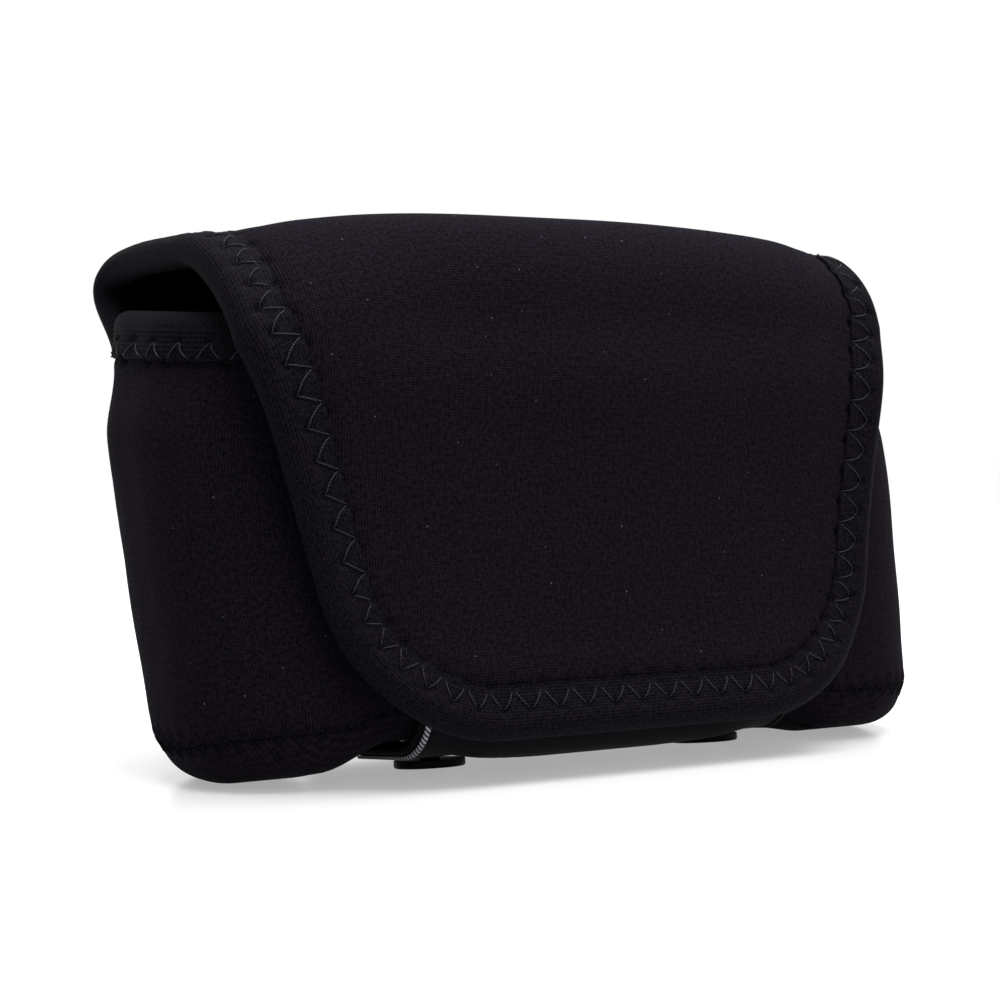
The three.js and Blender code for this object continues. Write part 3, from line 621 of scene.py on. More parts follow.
def seam_rounding(arc, length):
    """How far a wall panel's face falls back beside its base seam and its two back seams."""
    to_back_seam = np.minimum(arc, arc[-1:] - arc)
    return round_edge(np.minimum(length - wrap_low, to_back_seam), 0.3)


relief = wall_relief(arc, length, below_rim)
outer = wall_point(turn, length, relief - seam_rounding(arc, length))
inner = wall_point(turn, length, -foam)
front_wrap = layered("front_wrap_neoprene", outer, inner, jersey, np.stack([arc, length], axis=-1))
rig.ride(front_wrap, "body")
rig.replaces(front_wrap, "front_wrap")
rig.slot(front_wrap, "jersey")
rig.sheet(front_wrap, flat=(0.178, 0.062), held="stretched", rests_on=["base_neoprene"])


# Back panel: a flat piece of the same neoprene between the two back seams, from the base up to
# the flap's root. The belt strap's top end is sewn to it.
flap_root_height = 62
back_turns = shares(
    (3 + seam_turn + seam_slit, 4, 20), (4, 5, 90), (5, 6 - seam_turn - seam_slit, 20),
)
back_arc = arc_round(back_turns)
back_high = length_at(flap_root_height - 0.1)
turn, length = np.meshgrid(back_turns, wrap_low + (back_high - wrap_low) * up, indexing="ij")
arc = np.repeat(back_arc[:, None], len(up), axis=1)
far_below_rim = 40  # out of the mouth tape's reach
relief = wall_relief(arc, length, np.full_like(length, far_below_rim))
relief = np.minimum(relief - 0.2 * ease((length - back_high + 4) / 4), 0)
outer = wall_point(turn, length, relief - seam_rounding(arc, length))
inner = wall_point(turn, length, -foam)
back_panel = layered("back_panel_neoprene", outer, inner, jersey, np.stack([arc, length], axis=-1))
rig.ride(back_panel, "body")
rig.replaces(back_panel, "back_panel")
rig.slot(back_panel, "jersey")
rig.sheet(back_panel, flat=(0.137, 0.059), held="stretched", rests_on=["base_neoprene"])


# Base: a piece of neoprene whose edge curls up to the seam like a shallow dish. Two snap studs
# are riveted through it, and each is pressed into the foam.
ring_radius, stud_radius, post_radius, recess_depth = 4.4, 1.9, 1.5, 1.9


def snap_place(side):
    """The frame of one snap: its axis points into the base."""
    spot = stand(strap_centre + side * snap_spacing / 2, -snap_forward, 0.0)
    return Matrix.Translation(Vector(spot)) @ Matrix.Rotation(-snap_lean, 4, "X")


def turned(name, profile, place, material):
    """A closed round piece from a profile of radius and height, on a snap's axis."""
    steps = 48
    angle = np.linspace(0, 2 * np.pi, steps, endpoint=False)
    mesh = bpy.data.meshes.new(name)
    points, faces, rings = [], [], []
    for radius, height in profile:
        if radius == 0:
            rings.append([len(points)] * steps)
            points.append((0, 0, height))
            continue
        rings.append(list(range(len(points), len(points) + steps)))
        points += [(radius * math.cos(a), radius * math.sin(a), height) for a in angle]
    for lower, upper in zip(rings, rings[1:]):
        for k in range(steps):
            ahead = (k + 1) % steps
            face = dict.fromkeys((lower[k], lower[ahead], upper[ahead], upper[k]))
            faces.append(tuple(face))
    moved = [(place @ Vector(p)) / 1000 for p in points]
    mesh.from_pydata([tuple(p) for p in moved], [], faces)
    mesh.shade_smooth()
    mesh.set_sharp_from_angle(angle=math.radians(35))
    mesh.materials.append(material)
    made = bpy.data.objects.new(name, mesh)
    bpy.context.collection.objects.link(made)
    return made


def cut_out(piece, cutters):
    """Cuts shapes from a piece and keeps the result as its mesh."""
    for cutter in cutters:
        cut = piece.modifiers.new("cut", "BOOLEAN")
        cut.object = cutter
        cut.operation = "DIFFERENCE"
        cut.solver = "EXACT"
    bpy.context.view_layer.update()
    shown = piece.evaluated_get(bpy.context.evaluated_depsgraph_get())
    finished = bpy.data.meshes.new_from_object(shown)
    piece.modifiers.clear()
    piece.data = finished
    finished.shade_smooth()
    finished.set_sharp_from_angle(angle=math.radians(40))
    for cutter in cutters:
        bpy.data.objects.remove(cutter)


ring_turns = shares(
    (0, 1, 76), (1, 2, 20), (2, 3, 4), (3, 4, 20),
    (4, 5, 76), (5, 6, 20), (6, 7, 4), (7, 8, 20),
)[:-1]
flat_x, flat_y = outline(ring_turns, 0, -bottom_fillet)
flat_edge = np.stack([flat_x, flat_y], axis=-1)
outwards = flat_edge / np.linalg.norm(flat_edge, axis=1, keepdims=True)
dish_shares = np.linspace(0.06, 1, 14)
curls = np.linspace(0, seam_rise - seam_slack, 20)[1:]
drawn_in = seam_dip(curls) + round_edge(seam_rise - curls, 0.3)
rings, cloth = [], []
for offset, way in ((0, 1), (-foam, -1)):
    flats = [stand(flat_x * s, flat_y * s, np.full_like(flat_x, -offset)) for s in dish_shares]
    inset = offset - drawn_in if way > 0 else np.full_like(drawn_in, offset)
    walls = [wall_point(ring_turns, c, o) for c, o in zip(curls, inset)]
    flats_cloth = [flat_edge * s for s in dish_shares]
    walls_cloth = [flats_cloth[-1] + outwards * c for c in curls]
    rings.append((flats + walls)[::way])
    cloth.append((flats_cloth + walls_cloth)[::way])
rings = np.array(rings[0] + rings[1])
cloth = np.array(cloth[0] + cloth[1])
count = len(ring_turns)
index = np.arange(rings.shape[0] * count).reshape(rings.shape[0], count)
after = np.roll(index, -1, axis=1)
quads = np.stack([index[:-1], after[:-1], after[1:], index[1:]], axis=-1).reshape(-1, 4)
triangles = np.concatenate([quads[:, [0, 1, 2]], quads[:, [0, 2, 3]]])
middles = [stand(0.0, 0.0, 0.0), stand(0.0, 0.0, float(foam))]
points = np.concatenate([rings.reshape(-1, 3), middles])
places = np.concatenate([cloth.reshape(-1, 2), [[0, 0], [0, 0]]])
low, high = len(points) - 2, len(points) - 1
caps = [(low, after[0][k], index[0][k]) for k in range(count)]
caps += [(high, index[-1][k], after[-1][k]) for k in range(count)]
base = put("base_neoprene", points, np.concatenate([triangles, caps]), jersey, places)
# Both cutters start outside the base's face, and the narrow one goes on through the foam
recess = [(0, -2), (ring_radius + 0.5, -2), (ring_radius + 0.5, recess_depth), (0, recess_depth)]
hole = [(0, -4), (post_radius + gap, -4), (post_radius + gap, 6), (0, 6)]
cut_out(base, [
    turned("cutter", shape, snap_place(side), jersey)
    for side in (-1, 1) for shape in (recess, hole)
])
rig.ride(base, "body")
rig.replaces(base, "base_panel")
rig.slot(base, "jersey")
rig.sheet(base, flat=(0.142, 0.047), area=0.0062, held="laid", rests_on=["floor"])


# Mouth tape: a ribbed black knit tape folded over the pouch's rim and zigzagged through. Its ribs
# run along it, 0.7 mm apart, plainest at the left end.
to_fold = 36  # points of the tape's section, from its inner edge to its fold
roll_steps = 10  # the steps between the last of them, round the rolled edge


def tape_section(half, depth, sink):
    """Folded tape in section: (distance in from the edge, height out of the middle) from one
    side round the edge to the other, and the same for its inner face."""
    way = np.concatenate([
        np.linspace(depth, half, to_fold - roll_steps)[:-1],
        half * (1 - np.sin(np.linspace(0, np.pi / 2, roll_steps + 1))),
    ])
    rise_out = np.where(
        way < half,
        half * np.sqrt(np.maximum(0, 1 - (1 - way / half) ** 2)),
        half - sink * ease((way - half) / (depth - half - 1)),
    )
    distance = np.concatenate([way, way[::-1][1:]])
    height = np.concatenate([rise_out, -rise_out[::-1][1:]])
    thickness = tape - 0.05
    inner_distance = depth - (depth - distance) * (1 - thickness / depth)
    return distance, height, inner_distance, height * (1 - thickness / half)


def black_knit_tape(name, dark, light, rib, course):
    """Black knitted binding tape, in polyester: finer and a little smoother than the jersey."""
    material, tree, output = new_material(name)
    loops = knit(tree, rib, course, 0.6)
    flat = node(tree, "ShaderNodeUVMap", uv_map="cloth")
    uneven = node(tree, "ShaderNodeTexNoise", {
        "Vector": flat.outputs[0], "Scale": 1900, "Detail": 2, "Roughness": 0.7,
    })
    blend = node(tree, "ShaderNodeMath", {
        0: loops.outputs[0], 1: 0.36, 2: uneven.outputs["Fac"],
    }, operation="MULTIPLY_ADD")
    tone = node(tree, "ShaderNodeMapRange", {
        "Value": blend.outputs[0], "From Min": 0.5, "From Max": 0.88,
    })
    yarn = node(tree, "ShaderNodeMix", {
        "Factor": tone.outputs[0], "A": colour(dark), "B": colour(light),
    }, data_type="RGBA")
    relief = node(tree, "ShaderNodeBump", {
        "Strength": 1, "Distance": 0.00014, "Height": blend.outputs[0],
    })
    cloth = node(tree, "ShaderNodeBsdfPrincipled", {
        "Base Color": yarn.outputs["Result"],
        "Roughness": 0.7,
        "IOR": 1.5,
        "Specular IOR Level": 0.02,
        "Sheen Weight": 0.004,
        "Sheen Roughness": 0.35,
        "Sheen Tint": colour("#9a90a0"),
        "Normal": relief.outputs[0],
    })
    tree.links.new(cloth.outputs[0], output.inputs["Surface"])
    return material


knit_tape = black_knit_tape("knitted_polyester_tape", "#020202", "#19151c", 0.36, 0.5)


def needle_pits(along, distance, depth, inset, width):
    """How deep the zigzag's two rows of needle holes draw the tape in. The inner row's holes lie
    half a pitch from the outer row's."""
    near = np.mod(along, stitch_pitch)
    near = np.minimum(near, stitch_pitch - near)
    far = stitch_pitch / 2 - near
    outer_row = np.exp(-(near**2 + (distance - inset) ** 2) / 0.45)
    inner_row = np.exp(-(far**2 + (distance - inset - width) ** 2) / 0.6)
    return depth * (1.7 * outer_row + 2.2 * inner_row)


def in_step(arc):
    """A length round the mouth, with whole stitches made to fill it."""
    return arc * mouth_stitches * stitch_pitch / wrap_arc[-1]


mouth_arc = shares((0, wrap_arc[-1], 400))
mouth_turns = np.interp(mouth_arc, wrap_arc, wrap_turns)
distance, height, inner_distance, inner_height = tape_section(
    foam / 2 + tape + 0.2, tape_width, 0.5,
)
mouth_face = distance[:to_fold][::-1], height[:to_fold][::-1]
section_way = run_along(np.stack([distance, height], axis=-1))
turn, arc = mouth_turns[:, None], mouth_arc[:, None]
rim = rim_length(turn)
rib_pitch = 0.72
rib = 0.07 * np.cos(section_way * 2 * np.pi / rib_pitch) * (1.4 - ease((arc - 18) / 50))
outwards = np.where(height >= 0, 1, -1)
pits = needle_pits(in_step(arc), distance, 0.4, stitch_inset, stitch_width)
scallop = 0.12 * np.cos(arc * 2 * np.pi / stitch_pitch) * ease(distance - 5)
lie = outwards * (np.abs(height) + rib - (pits + scallop))
outer = wall_point(turn, rim - distance, lie - foam / 2)
inner = wall_point(turn, rim - inner_distance, inner_height - foam / 2)
places = np.stack(np.broadcast_arrays(section_way[None, :], arc), axis=-1)
mouth_tape = layered("mouth_tape", outer, inner, knit_tape, places)
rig.ride(mouth_tape, "body")
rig.replaces(mouth_tape, "mouth_binding")
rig.slot(mouth_tape, "knit_tape")
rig.sheet(mouth_tape, flat=(0.018, 0.178), held="folded", rests_on=["front_wrap_neoprene"])


# Sewing thread: twisted black-dyed polyester, 0.22 mm thick. Its grey is a painted sheen: the light it
# catches is painted into its colour. The zigzag on the mouth tape goes through tape and foam, and dips into
# a needle hole at each end.
def spun_thread(name, value, shine):
    """Twisted polyester thread: dull silk-like gloss, with its two plies as a fine spiral that
    turns once in 0.5 mm. The cloth map's X is the angle round the thread."""
    material, tree, output = new_material(name)
    flat = node(tree, "ShaderNodeUVMap", uv_map="cloth")
    split = node(tree, "ShaderNodeSeparateXYZ", {0: flat.outputs[0]})
    spiral = node(tree, "ShaderNodeMath", {
        0: split.outputs["Y"], 1: 2 * math.pi * 1000 / 0.5, 2: split.outputs["X"],
    }, operation="MULTIPLY_ADD")
    ply = node(tree, "ShaderNodeMath", {0: spiral.outputs[0]}, operation="SINE")
    tone = node(tree, "ShaderNodeMapRange", {"Value": ply.outputs[0], "From Min": -1})
    # The light end of this mix is a painted sheen: the black thread is coloured grey, as it looks in the light.
    ply_tone_and_painted_sheen = node(tree, "ShaderNodeMix", {
        "Factor": tone.outputs[0], "A": colour("#0a090b"), "B": colour(value),
    }, data_type="RGBA")
    relief = node(tree, "ShaderNodeBump", {
        "Strength": 0.6, "Distance": 0.00004, "Height": ply.outputs[0],
    })
    fibre = node(tree, "ShaderNodeBsdfPrincipled", {
        "Base Color": ply_tone_and_painted_sheen.outputs["Result"],
        "Roughness": 0.5,
        "IOR": 1.55,
        "Specular IOR Level": shine,
        "Normal": relief.outputs[0],
    })
    tree.links.new(fibre.outputs[0], output.inputs["Surface"])
    return material


thread_radius = 0.11
off_thread = np.array([0.31, 0.22, 0.93])  # a direction that no thread takes


def sewn(name, paths, material):
    """Closed tubes of thread along paths of points, in millimetres."""
    sides = 6
    points, faces, places = [], [], []
    for path in paths:
        path = np.asarray(path, float)
        way = np.gradient(path, axis=0)
        way /= np.linalg.norm(way, axis=1, keepdims=True)
        side = np.cross(way, off_thread)
        side /= np.linalg.norm(side, axis=1, keepdims=True)
        up_way = np.cross(side, way)
        run = run_along(path)
        start = len(points)
        for k in range(len(path)):
            for j in range(sides):
                angle = 2 * math.pi * j / sides
                out = math.cos(angle) * side[k] + math.sin(angle) * up_way[k]
                points.append(path[k] + thread_radius * out)
                places.append((angle * 1000, run[k]))
        for k in range(len(path) - 1):
            for j in range(sides):
                a, b = start + k * sides + j, start + k * sides + (j + 1) % sides
                faces += [(a, b, b + sides), (a, b + sides, a + sides)]
        last = start + (len(path) - 1) * sides
        for j in range(1, sides - 1):
            faces += [(start, start + j + 1, start + j), (last, last + j, last + j + 1)]
    return put(name, points, faces, material, places)


def zigzag(holes, surface, lie, bow):
    """One thread through a row of holes, as places on a surface. It dips at each hole and lies
    at a height between them, a little bowed to one side."""
    steps = np.linspace(0, 1, 9)[:-1]
    path = []
    for k in range(len(holes) - 1):
        start, end = np.array(holes[k]), np.array(holes[k + 1])
        way = end - start
        side = np.array([-way[1], way[0]]) / np.linalg.norm(way)
        bend = bow if k % 2 else 0.3 * bow
        for t in steps:
            a, b = start + way * t + side * bend * math.sin(math.pi * t)
            path.append((a, b, lie * min(1, 2.6 * math.sin(math.pi * t)) - 0.3 * (t == 0)))
    path.append((*holes[-1], -0.3))
    path = np.array(path)
    return surface(path[:, 0], path[:, 1], path[:, 2])


# Its grey colour is a painted sheen on black-dyed thread.
thread_with_painted_sheen = spun_thread("black_thread_with_painted_grey_sheen", "#37343a", 0.08)
holes = [
    (k * wrap_arc[-1] / (2 * mouth_stitches), stitch_inset + stitch_width * (k % 2))
    for k in range(1, 2 * mouth_stitches)
]


def on_mouth_tape(arc, distance, lie):
    """A place on the mouth tape's outer face, for the zigzag."""
    turn = np.interp(arc, mouth_arc, mouth_turns)
    face = np.interp(distance, *mouth_face)
    pit = needle_pits(in_step(arc), distance, 0.36, stitch_inset, stitch_width)
    sunk = 0.6 * ease((distance - stitch_inset - 0.7 * stitch_width) / (0.3 * stitch_width))
    return wall_point(turn, rim_length(turn) - distance, face + lie - pit - sunk - foam / 2)


mouth_path = zigzag(holes, on_mouth_tape, thread_radius + 0.03, 0.4)
mouth_thread = sewn("mouth_zigzag", [mouth_path], thread_with_painted_sheen)
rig.ride(mouth_thread, "body")
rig.replaces(mouth_thread, "mouth_stitching")
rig.slot(mouth_thread, "thread")


# Base seam: wrap, back panel and base meet edge to edge, under a tall dark zigzag that is pulled
# well into the jersey.
dark_thread = spun_thread("dull_black_thread", "#070508", 0.02)
loop_turns = shares(
    (0, 1, 90), (1, 2, 26), (2, 3, 8), (3, 4, 26),
    (4, 5, 90), (5, 6, 26), (6, 7, 8), (7, 8, 26),
)
loop_arc = arc_round(loop_turns)
seam_stitches = round(loop_arc[-1] / seam_pitch)
holes = [
    (k * loop_arc[-1] / (2 * seam_stitches), seam_rise + seam_width * (0.5 - k % 2))
    for k in range(2 * seam_stitches + 1)
]


def on_base_seam(arc, length, lie):
    """A place on the wall or the base beside their seam, for the zigzag."""
    turn = np.interp(arc, loop_arc, loop_turns)
    sunk = 0.12 * ease((seam_rise + 0.8 - length) / 1.2)
    return wall_point(turn, length, lie - seam_dip(length) - sunk)


base_path = zigzag(holes, on_base_seam, thread_radius + 0.05, 0.12)
base_thread = sewn("base_zigzag", [base_path], dark_thread)
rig.ride(base_thread, "body")
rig.replaces(base_thread, "base_stitching")
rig.slot(base_thread, "thread")


# Flap: one piece of neoprene from its root high on the back, arched over the mouth and down the
# front. It is made as a rear and a front half, which meet along the middle of its top, because
# each half bends at one of its two folds.
flap_root_half_width, flap_half_width, flap_centre = 59.5, 58.9, -2.7
flap_top_height, flap_top_crown, crown_power, flap_top_tilt = 77.2, 4.6, 3, 1
arch_back, arch_rise, top_start, bend_fullness = 24, 6, 9, 0.6
middle_front, middle_drop, left_front, left_drop, right_front, right_drop = 8, 9, 24, 19, 11, 11
fold_in_bend, taper_start, flap_hem, flap_taper, flap_corner_radius = 5, 2, 6.2, 0.22, 27
room_over_strap, room_over_mouth, strap_spread, mouth_spread = 1.3, 2.55, 10, 28
standoff = foam / 2 + 3 * gap + 1.4


def front_face(x, z, offset):
    """Where the front's face is from front to back, or a surface at an offset out of it."""
    radius = corner(z)
    past = np.maximum(0, np.abs(x) - half_width(z) + radius)
    reach = radius + offset
    bend = reach - np.sqrt(np.maximum(0, reach**2 - past**2))
    return -half_depth(z) - crown(x, z) - offset + bend + foot_y + lean * z


def back_face(x, z):
    """Where the back's face is from front to back."""
    radius = corner(z)
    past = np.maximum(0, np.abs(x) - half_width(z) + radius)
    half = half_depth(z) - radius + np.sqrt(np.maximum(0, radius**2 - past**2))
    return half * (1 + back_swell(z)) + foot_y + lean * z


curve_steps, line_steps = 200, 600


def bezier(a, b, c, d, steps=curve_steps):
    """A cubic curve from a to d, drawn towards b and c, in steps."""
    t = np.linspace(0, 1, steps)[:, None]
    a, b, c, d = (np.array(p) for p in (a, b, c, d))
    return (1 - t) ** 3 * a + 3 * (1 - t) ** 2 * t * b + 3 * (1 - t) * t**2 * c + t**3 * d


def flap_line(x):
    """The flap's middle surface from its root to its hem at one place across, in even steps, and
    the lengths along it at its points as drawn: arch, bend, then the fall to the hem."""
    share = (x - flap_centre) / flap_half_width
    middle = 1 - min(1, abs(share) ** crown_power)
    side_top = flap_top_height + flap_top_tilt * share
    top = side_top + flap_top_crown * middle
    root = float(back_face(x, flap_root_height)) - foam / 2
    on_left = x < flap_centre
    side_front, side_drop = (left_front, left_drop) if on_left else (right_front, right_drop)
    front = side_front + (middle_front - side_front) * middle
    bend_end = side_top - side_drop - (middle_drop - side_drop) * middle

    def face(z):
        """The flap's way down the front, held off the strap and off the mouth tape."""
        beside = ease((abs(x - strap_centre) - lift_half_width) / lift_spread)
        above_tape = ease((z - flap_hem - tape_width) / strap_spread)
        over_strap = room_over_strap * (1 - beside) * (1 - above_tape)
        near_mouth = ease((z - rim_height + tape_width + mouth_spread) / mouth_spread)
        return front_face(x, z, standoff + over_strap + room_over_mouth * near_mouth)

    y = float(face(bend_end))
    arch = bezier(
        (root, flap_root_height), (root + 1, flap_root_height + arch_rise),
        (root + arch_back, top), (root - top_start, top),
    )
    bend = bezier(
        (y + front, top), (y + front * bend_fullness, top),
        (y, top + (bend_end - top) * bend_fullness), (y, bend_end),
    )
    down = np.linspace(bend_end, flap_hem, curve_steps)
    fall = np.stack([face(down), down], axis=-1)
    line = np.concatenate([arch, bend, fall[1:]])
    run = run_along(line)
    even = np.linspace(0, run[-1], line_steps)
    return np.stack([np.interp(even, run, line[:, k]) for k in (0, 1)], axis=-1), run


flap_length = flap_line(flap_centre + flap_half_width)[1][-1]
middle_run = flap_line(flap_centre)[1]
top_end = middle_run[curve_steps]  # where the bend begins
fold_at = top_end + fold_in_bend
columns = np.linspace(-62, 62, 249)  # across the flap, and a little past its sides
table = np.array([flap_line(flap_centre + c)[0] for c in columns])

# The lines are softened along their length, away from their ends
soft_kernel = np.exp(-(np.arange(-36, 37) / 14) ** 2)
soft_kernel /= soft_kernel.sum()
soft = np.apply_along_axis(lambda line: np.convolve(line, soft_kernel, "same"), 1, table)
step = np.arange(line_steps)
inside = ease(np.minimum(step, step[::-1]) / 60 - 0.6)[None, :, None]
table = table + (soft - table) * inside
rows = np.linspace(0, flap_length, table.shape[1])
across_way = np.gradient(table, columns, axis=0)
along_way = np.gradient(table, rows, axis=1)
facing = np.cross(
    np.concatenate([np.zeros_like(along_way[..., :1]), along_way], axis=-1),
    np.concatenate([np.ones_like(across_way[..., :1]), across_way], axis=-1),
)
facing /= np.linalg.norm(facing, axis=-1, keepdims=True)
sheet_table = np.concatenate([table, facing], axis=-1)


def flap_point(across, s, out):
    """A point of the flap: across from its middle, along from its root, out of its middle
    surface."""
    across, s, out = np.broadcast_arrays(across, s, out)
    i = np.clip((across - columns[0]) / (columns[1] - columns[0]), 0, len(columns) - 1.001)
    j = np.clip(s / (rows[1] - rows[0]), 0, len(rows) - 1.001)
    i0, j0 = i.astype(int), j.astype(int)
    u, v = (i - i0)[..., None], (j - j0)[..., None]
    value = (
        sheet_table[i0, j0] * (1 - u) * (1 - v) + sheet_table[i0 + 1, j0] * u * (1 - v)
        + sheet_table[i0, j0 + 1] * (1 - u) * v + sheet_table[i0 + 1, j0 + 1] * u * v
    )
    place = np.stack([flap_centre + across, value[..., 0], value[..., 1]], axis=-1)
    return place + value[..., 2:] * out[..., None]


bend_at = fold_at + taper_start
corner_at = flap_length - flap_corner_radius
slant = math.atan(flap_taper)
secant = math.sqrt(1 + flap_taper**2)


def side_half(s):
    """Half the flap's width at a length along it."""
    early = flap_root_half_width + (flap_half_width - flap_root_half_width) * ease(s / 25)
    return np.where(s < bend_at, early, flap_half_width - flap_taper * (s - bend_at))


corner_x = float(side_half(corner_at)) - flap_corner_radius * secant


def panel_half(s, margin):
    """Half the flap's width inside its edge by a margin, round the corners too."""
    reach = flap_corner_radius - margin
    down = s - corner_at
    straight = side_half(s) - margin * np.where(s < bend_at, 1, secant)
    rounded = corner_x + np.sqrt(np.maximum(0, reach**2 - down**2))
    return np.where(down > reach * math.sin(slant), rounded, straight)


def edge_distance(across, s):
    """How far a place on the flap is from its edge."""
    x, y = np.abs(across) - corner_x, s - corner_at
    side = (side_half(s) - np.abs(across)) / np.where(s < bend_at, 1, secant)
    distance = np.minimum(side, flap_length - s)
    in_corner = (x > 0) & (y > x * math.tan(slant))
    return np.where(in_corner, flap_corner_radius - np.hypot(x, y), distance)


# Runs round the flap's edge from the middle of its hem: to the ends of its corners and its sides,
# to its root, and to the line where its halves meet
root_gap = 0.1
middle_of_top = 0.5 * (middle_run[curve_steps - 1] + top_end)
corner_run = corner_x + flap_corner_radius * (math.pi / 2 - slant)
corner_top = corner_at + flap_corner_radius * math.sin(slant)
side_run = corner_run + (corner_top - bend_at) * secant
root_run = side_run + bend_at - root_gap
middle_of_top_run = side_run + bend_at - middle_of_top


def edge_place(across, s):
    """How far round the flap's edge a place lies, from the middle of the hem."""
    x, y = np.abs(across) - corner_x, s - corner_at
    side = corner_run + (corner_top - s) * secant
    early = side_run + bend_at - s
    near_hem = flap_length - s < side_half(s) - np.abs(across)
    place = np.where(near_hem, np.abs(across), np.where(s < bend_at, early, side))
    in_corner = (x > 0) & (y > x * math.tan(slant))
    turned_by = math.pi / 2 - np.arctan2(y, np.maximum(x, 1e-6))
    return np.where(in_corner, corner_x + flap_corner_radius * turned_by, place)


def edge_at(run):
    """The place on the flap's edge at a run from the hem's middle, and the way out of the edge."""
    run = np.asarray(run, float)
    way, side = np.abs(run), np.where(run < 0, -1, 1)
    angle = np.clip(math.pi / 2 - (way - corner_x) / flap_corner_radius, slant, math.pi / 2)
    on_side = corner_top - (way - corner_run) / secant
    s = np.where(way < side_run, on_side, bend_at - (way - side_run))
    s = np.where(way < corner_run, corner_at + flap_corner_radius * np.sin(angle), s)
    x = np.where(way < corner_run, corner_x + flap_corner_radius * np.cos(angle), side_half(s))
    x = np.where(way < corner_x, way, x)
    angle = angle * (1 - ease((way - side_run + 4) / 8))
    return side * x, s, side * np.cos(angle), np.sin(angle)


flap_margin = tape + 0.1
sweep = np.linspace(-1, 1, 191)
spread = 0.5 * sweep + 0.5 * np.sin(sweep * np.pi / 2)


def flap_half(name, along):
    """One half of the flap between two lengths, closed where the halves meet."""
    s = along[None, :]
    across = spread[:, None] * panel_half(s, flap_margin)
    s = np.broadcast_to(s, across.shape)
    distance = edge_distance(across, s)
    beside = distance - tape_width
    swell = 0.35 * ripple(across, s, 0.7) * ease((distance - 12) / 14)
    full = 0.5 * ease((beside - 0.4) / 9) + swell
    round_it = np.mod(edge_place(across, s) + stitch_pitch / 2, stitch_pitch)
    from_hole = np.minimum(round_it, stitch_pitch - round_it)
    pits = 0.6 * np.exp(-(beside / 0.8) ** 2 - (from_hole / 0.6) ** 2)
    groove = 0.12 * np.exp(-((beside - 0.4) / 0.8) ** 2)
    quilted = 0.1 * np.exp(-((beside - 2.8) / 1.6) ** 2) - groove - pits
    pressed = -0.35 * ease((0.6 - beside) / 1.2)
    outer = flap_point(across, s, foam / 2 + full + quilted + pressed)
    inner = flap_point(across, s, -foam / 2 - 0.3 * pressed)
    return layered(name, outer, inner, jersey, np.stack([across, s], axis=-1))


arch_rows, hem_rows = 12, 14  # over these lengths the rows lie closer
rear_flap = flap_half(
    "rear_flap_neoprene", shares((root_gap, arch_rows, 12), (arch_rows, middle_of_top, 36)),
)
front_flap = flap_half("front_flap_neoprene", shares(
    (middle_of_top, flap_length - hem_rows, 120),
    (flap_length - hem_rows, flap_length - flap_margin, 34),
))
root_bend = {"start": (0, 0.026, 0.062), "end": (0, 0.026, 0.073)}
front_bend = {"start": (0, -0.014, 0.081), "end": (0, -0.0235, 0.069)}
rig.blend(rear_flap, "body", "flap_top", **root_bend)
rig.replaces(rear_flap, "flap_top")
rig.slot(rear_flap, "jersey")
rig.sheet(rear_flap, flat=(0.117, 0.058), held="stretched", rests_on=["back_panel_neoprene"])
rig.blend(front_flap, "flap_top", "flap_front", **front_bend)
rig.replaces(front_flap, "flap_front")
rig.slot(front_flap, "jersey")
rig.sheet(front_flap, flat=(0.117, 0.092), held="stretched", rests_on=["rear_flap_neoprene"])


# Flap tape: the same knit tape in a plain face, folded over the flap's edge as a soft roll and
# zigzagged through beside the panel, so that the needle holes pull pits along its inner edge.
flap_tape_knit = black_knit_tape("plain_knitted_tape", "#020202", "#1b171e", 0.44, 0.4)
half_roll = foam / 2 + tape + 0.25
tape_distance, tape_height, lining_distance, lining_height = tape_section(
    half_roll, tape_width, 0.75,
)
tape_way = run_along(np.stack([tape_distance, tape_height], axis=-1))
tape_face = tape_distance[:to_fold][::-1], tape_height[:to_fold][::-1]
flap_rows = 3.8, 3.3  # the zigzag's outer row from the edge, and its inner row from that


def flap_tape(name, start, end):
    """A length of tape along the flap's edge, between two runs from the hem's middle."""
    run = shares((start, end, round(abs(end - start) / 0.45)))[:, None]
    x, s, out_x, out_s = edge_at(run)
    front = tape_height >= 0
    pull = needle_pits(run, tape_distance, 0.45, *flap_rows) * np.where(front, 1, 0.2)
    wave = np.cos(run * 2 * np.pi / stitch_pitch)
    scallop = 0.08 * wave * ease(tape_distance - 5.4)
    ribs = 0.025 * np.cos(tape_way * 2 * np.pi / 0.7)
    soft = 0.1 * ripple(run, tape_way * 3, 2.1) * (tape_distance > 1)
    lie = np.where(front, 1, -1) * (np.abs(tape_height) + ribs - pull - scallop + soft)
    deep = tape_distance + 0.06 * wave * ease(tape_distance - 6.4)
    outer = flap_point(x - out_x * deep, s - out_s * deep, lie)
    inner = flap_point(x - out_x * lining_distance, s - out_s * lining_distance, lining_height)
    places = np.stack(np.broadcast_arrays(tape_way[None, :], run), axis=-1)
    return layered(name, outer, inner, flap_tape_knit, places)


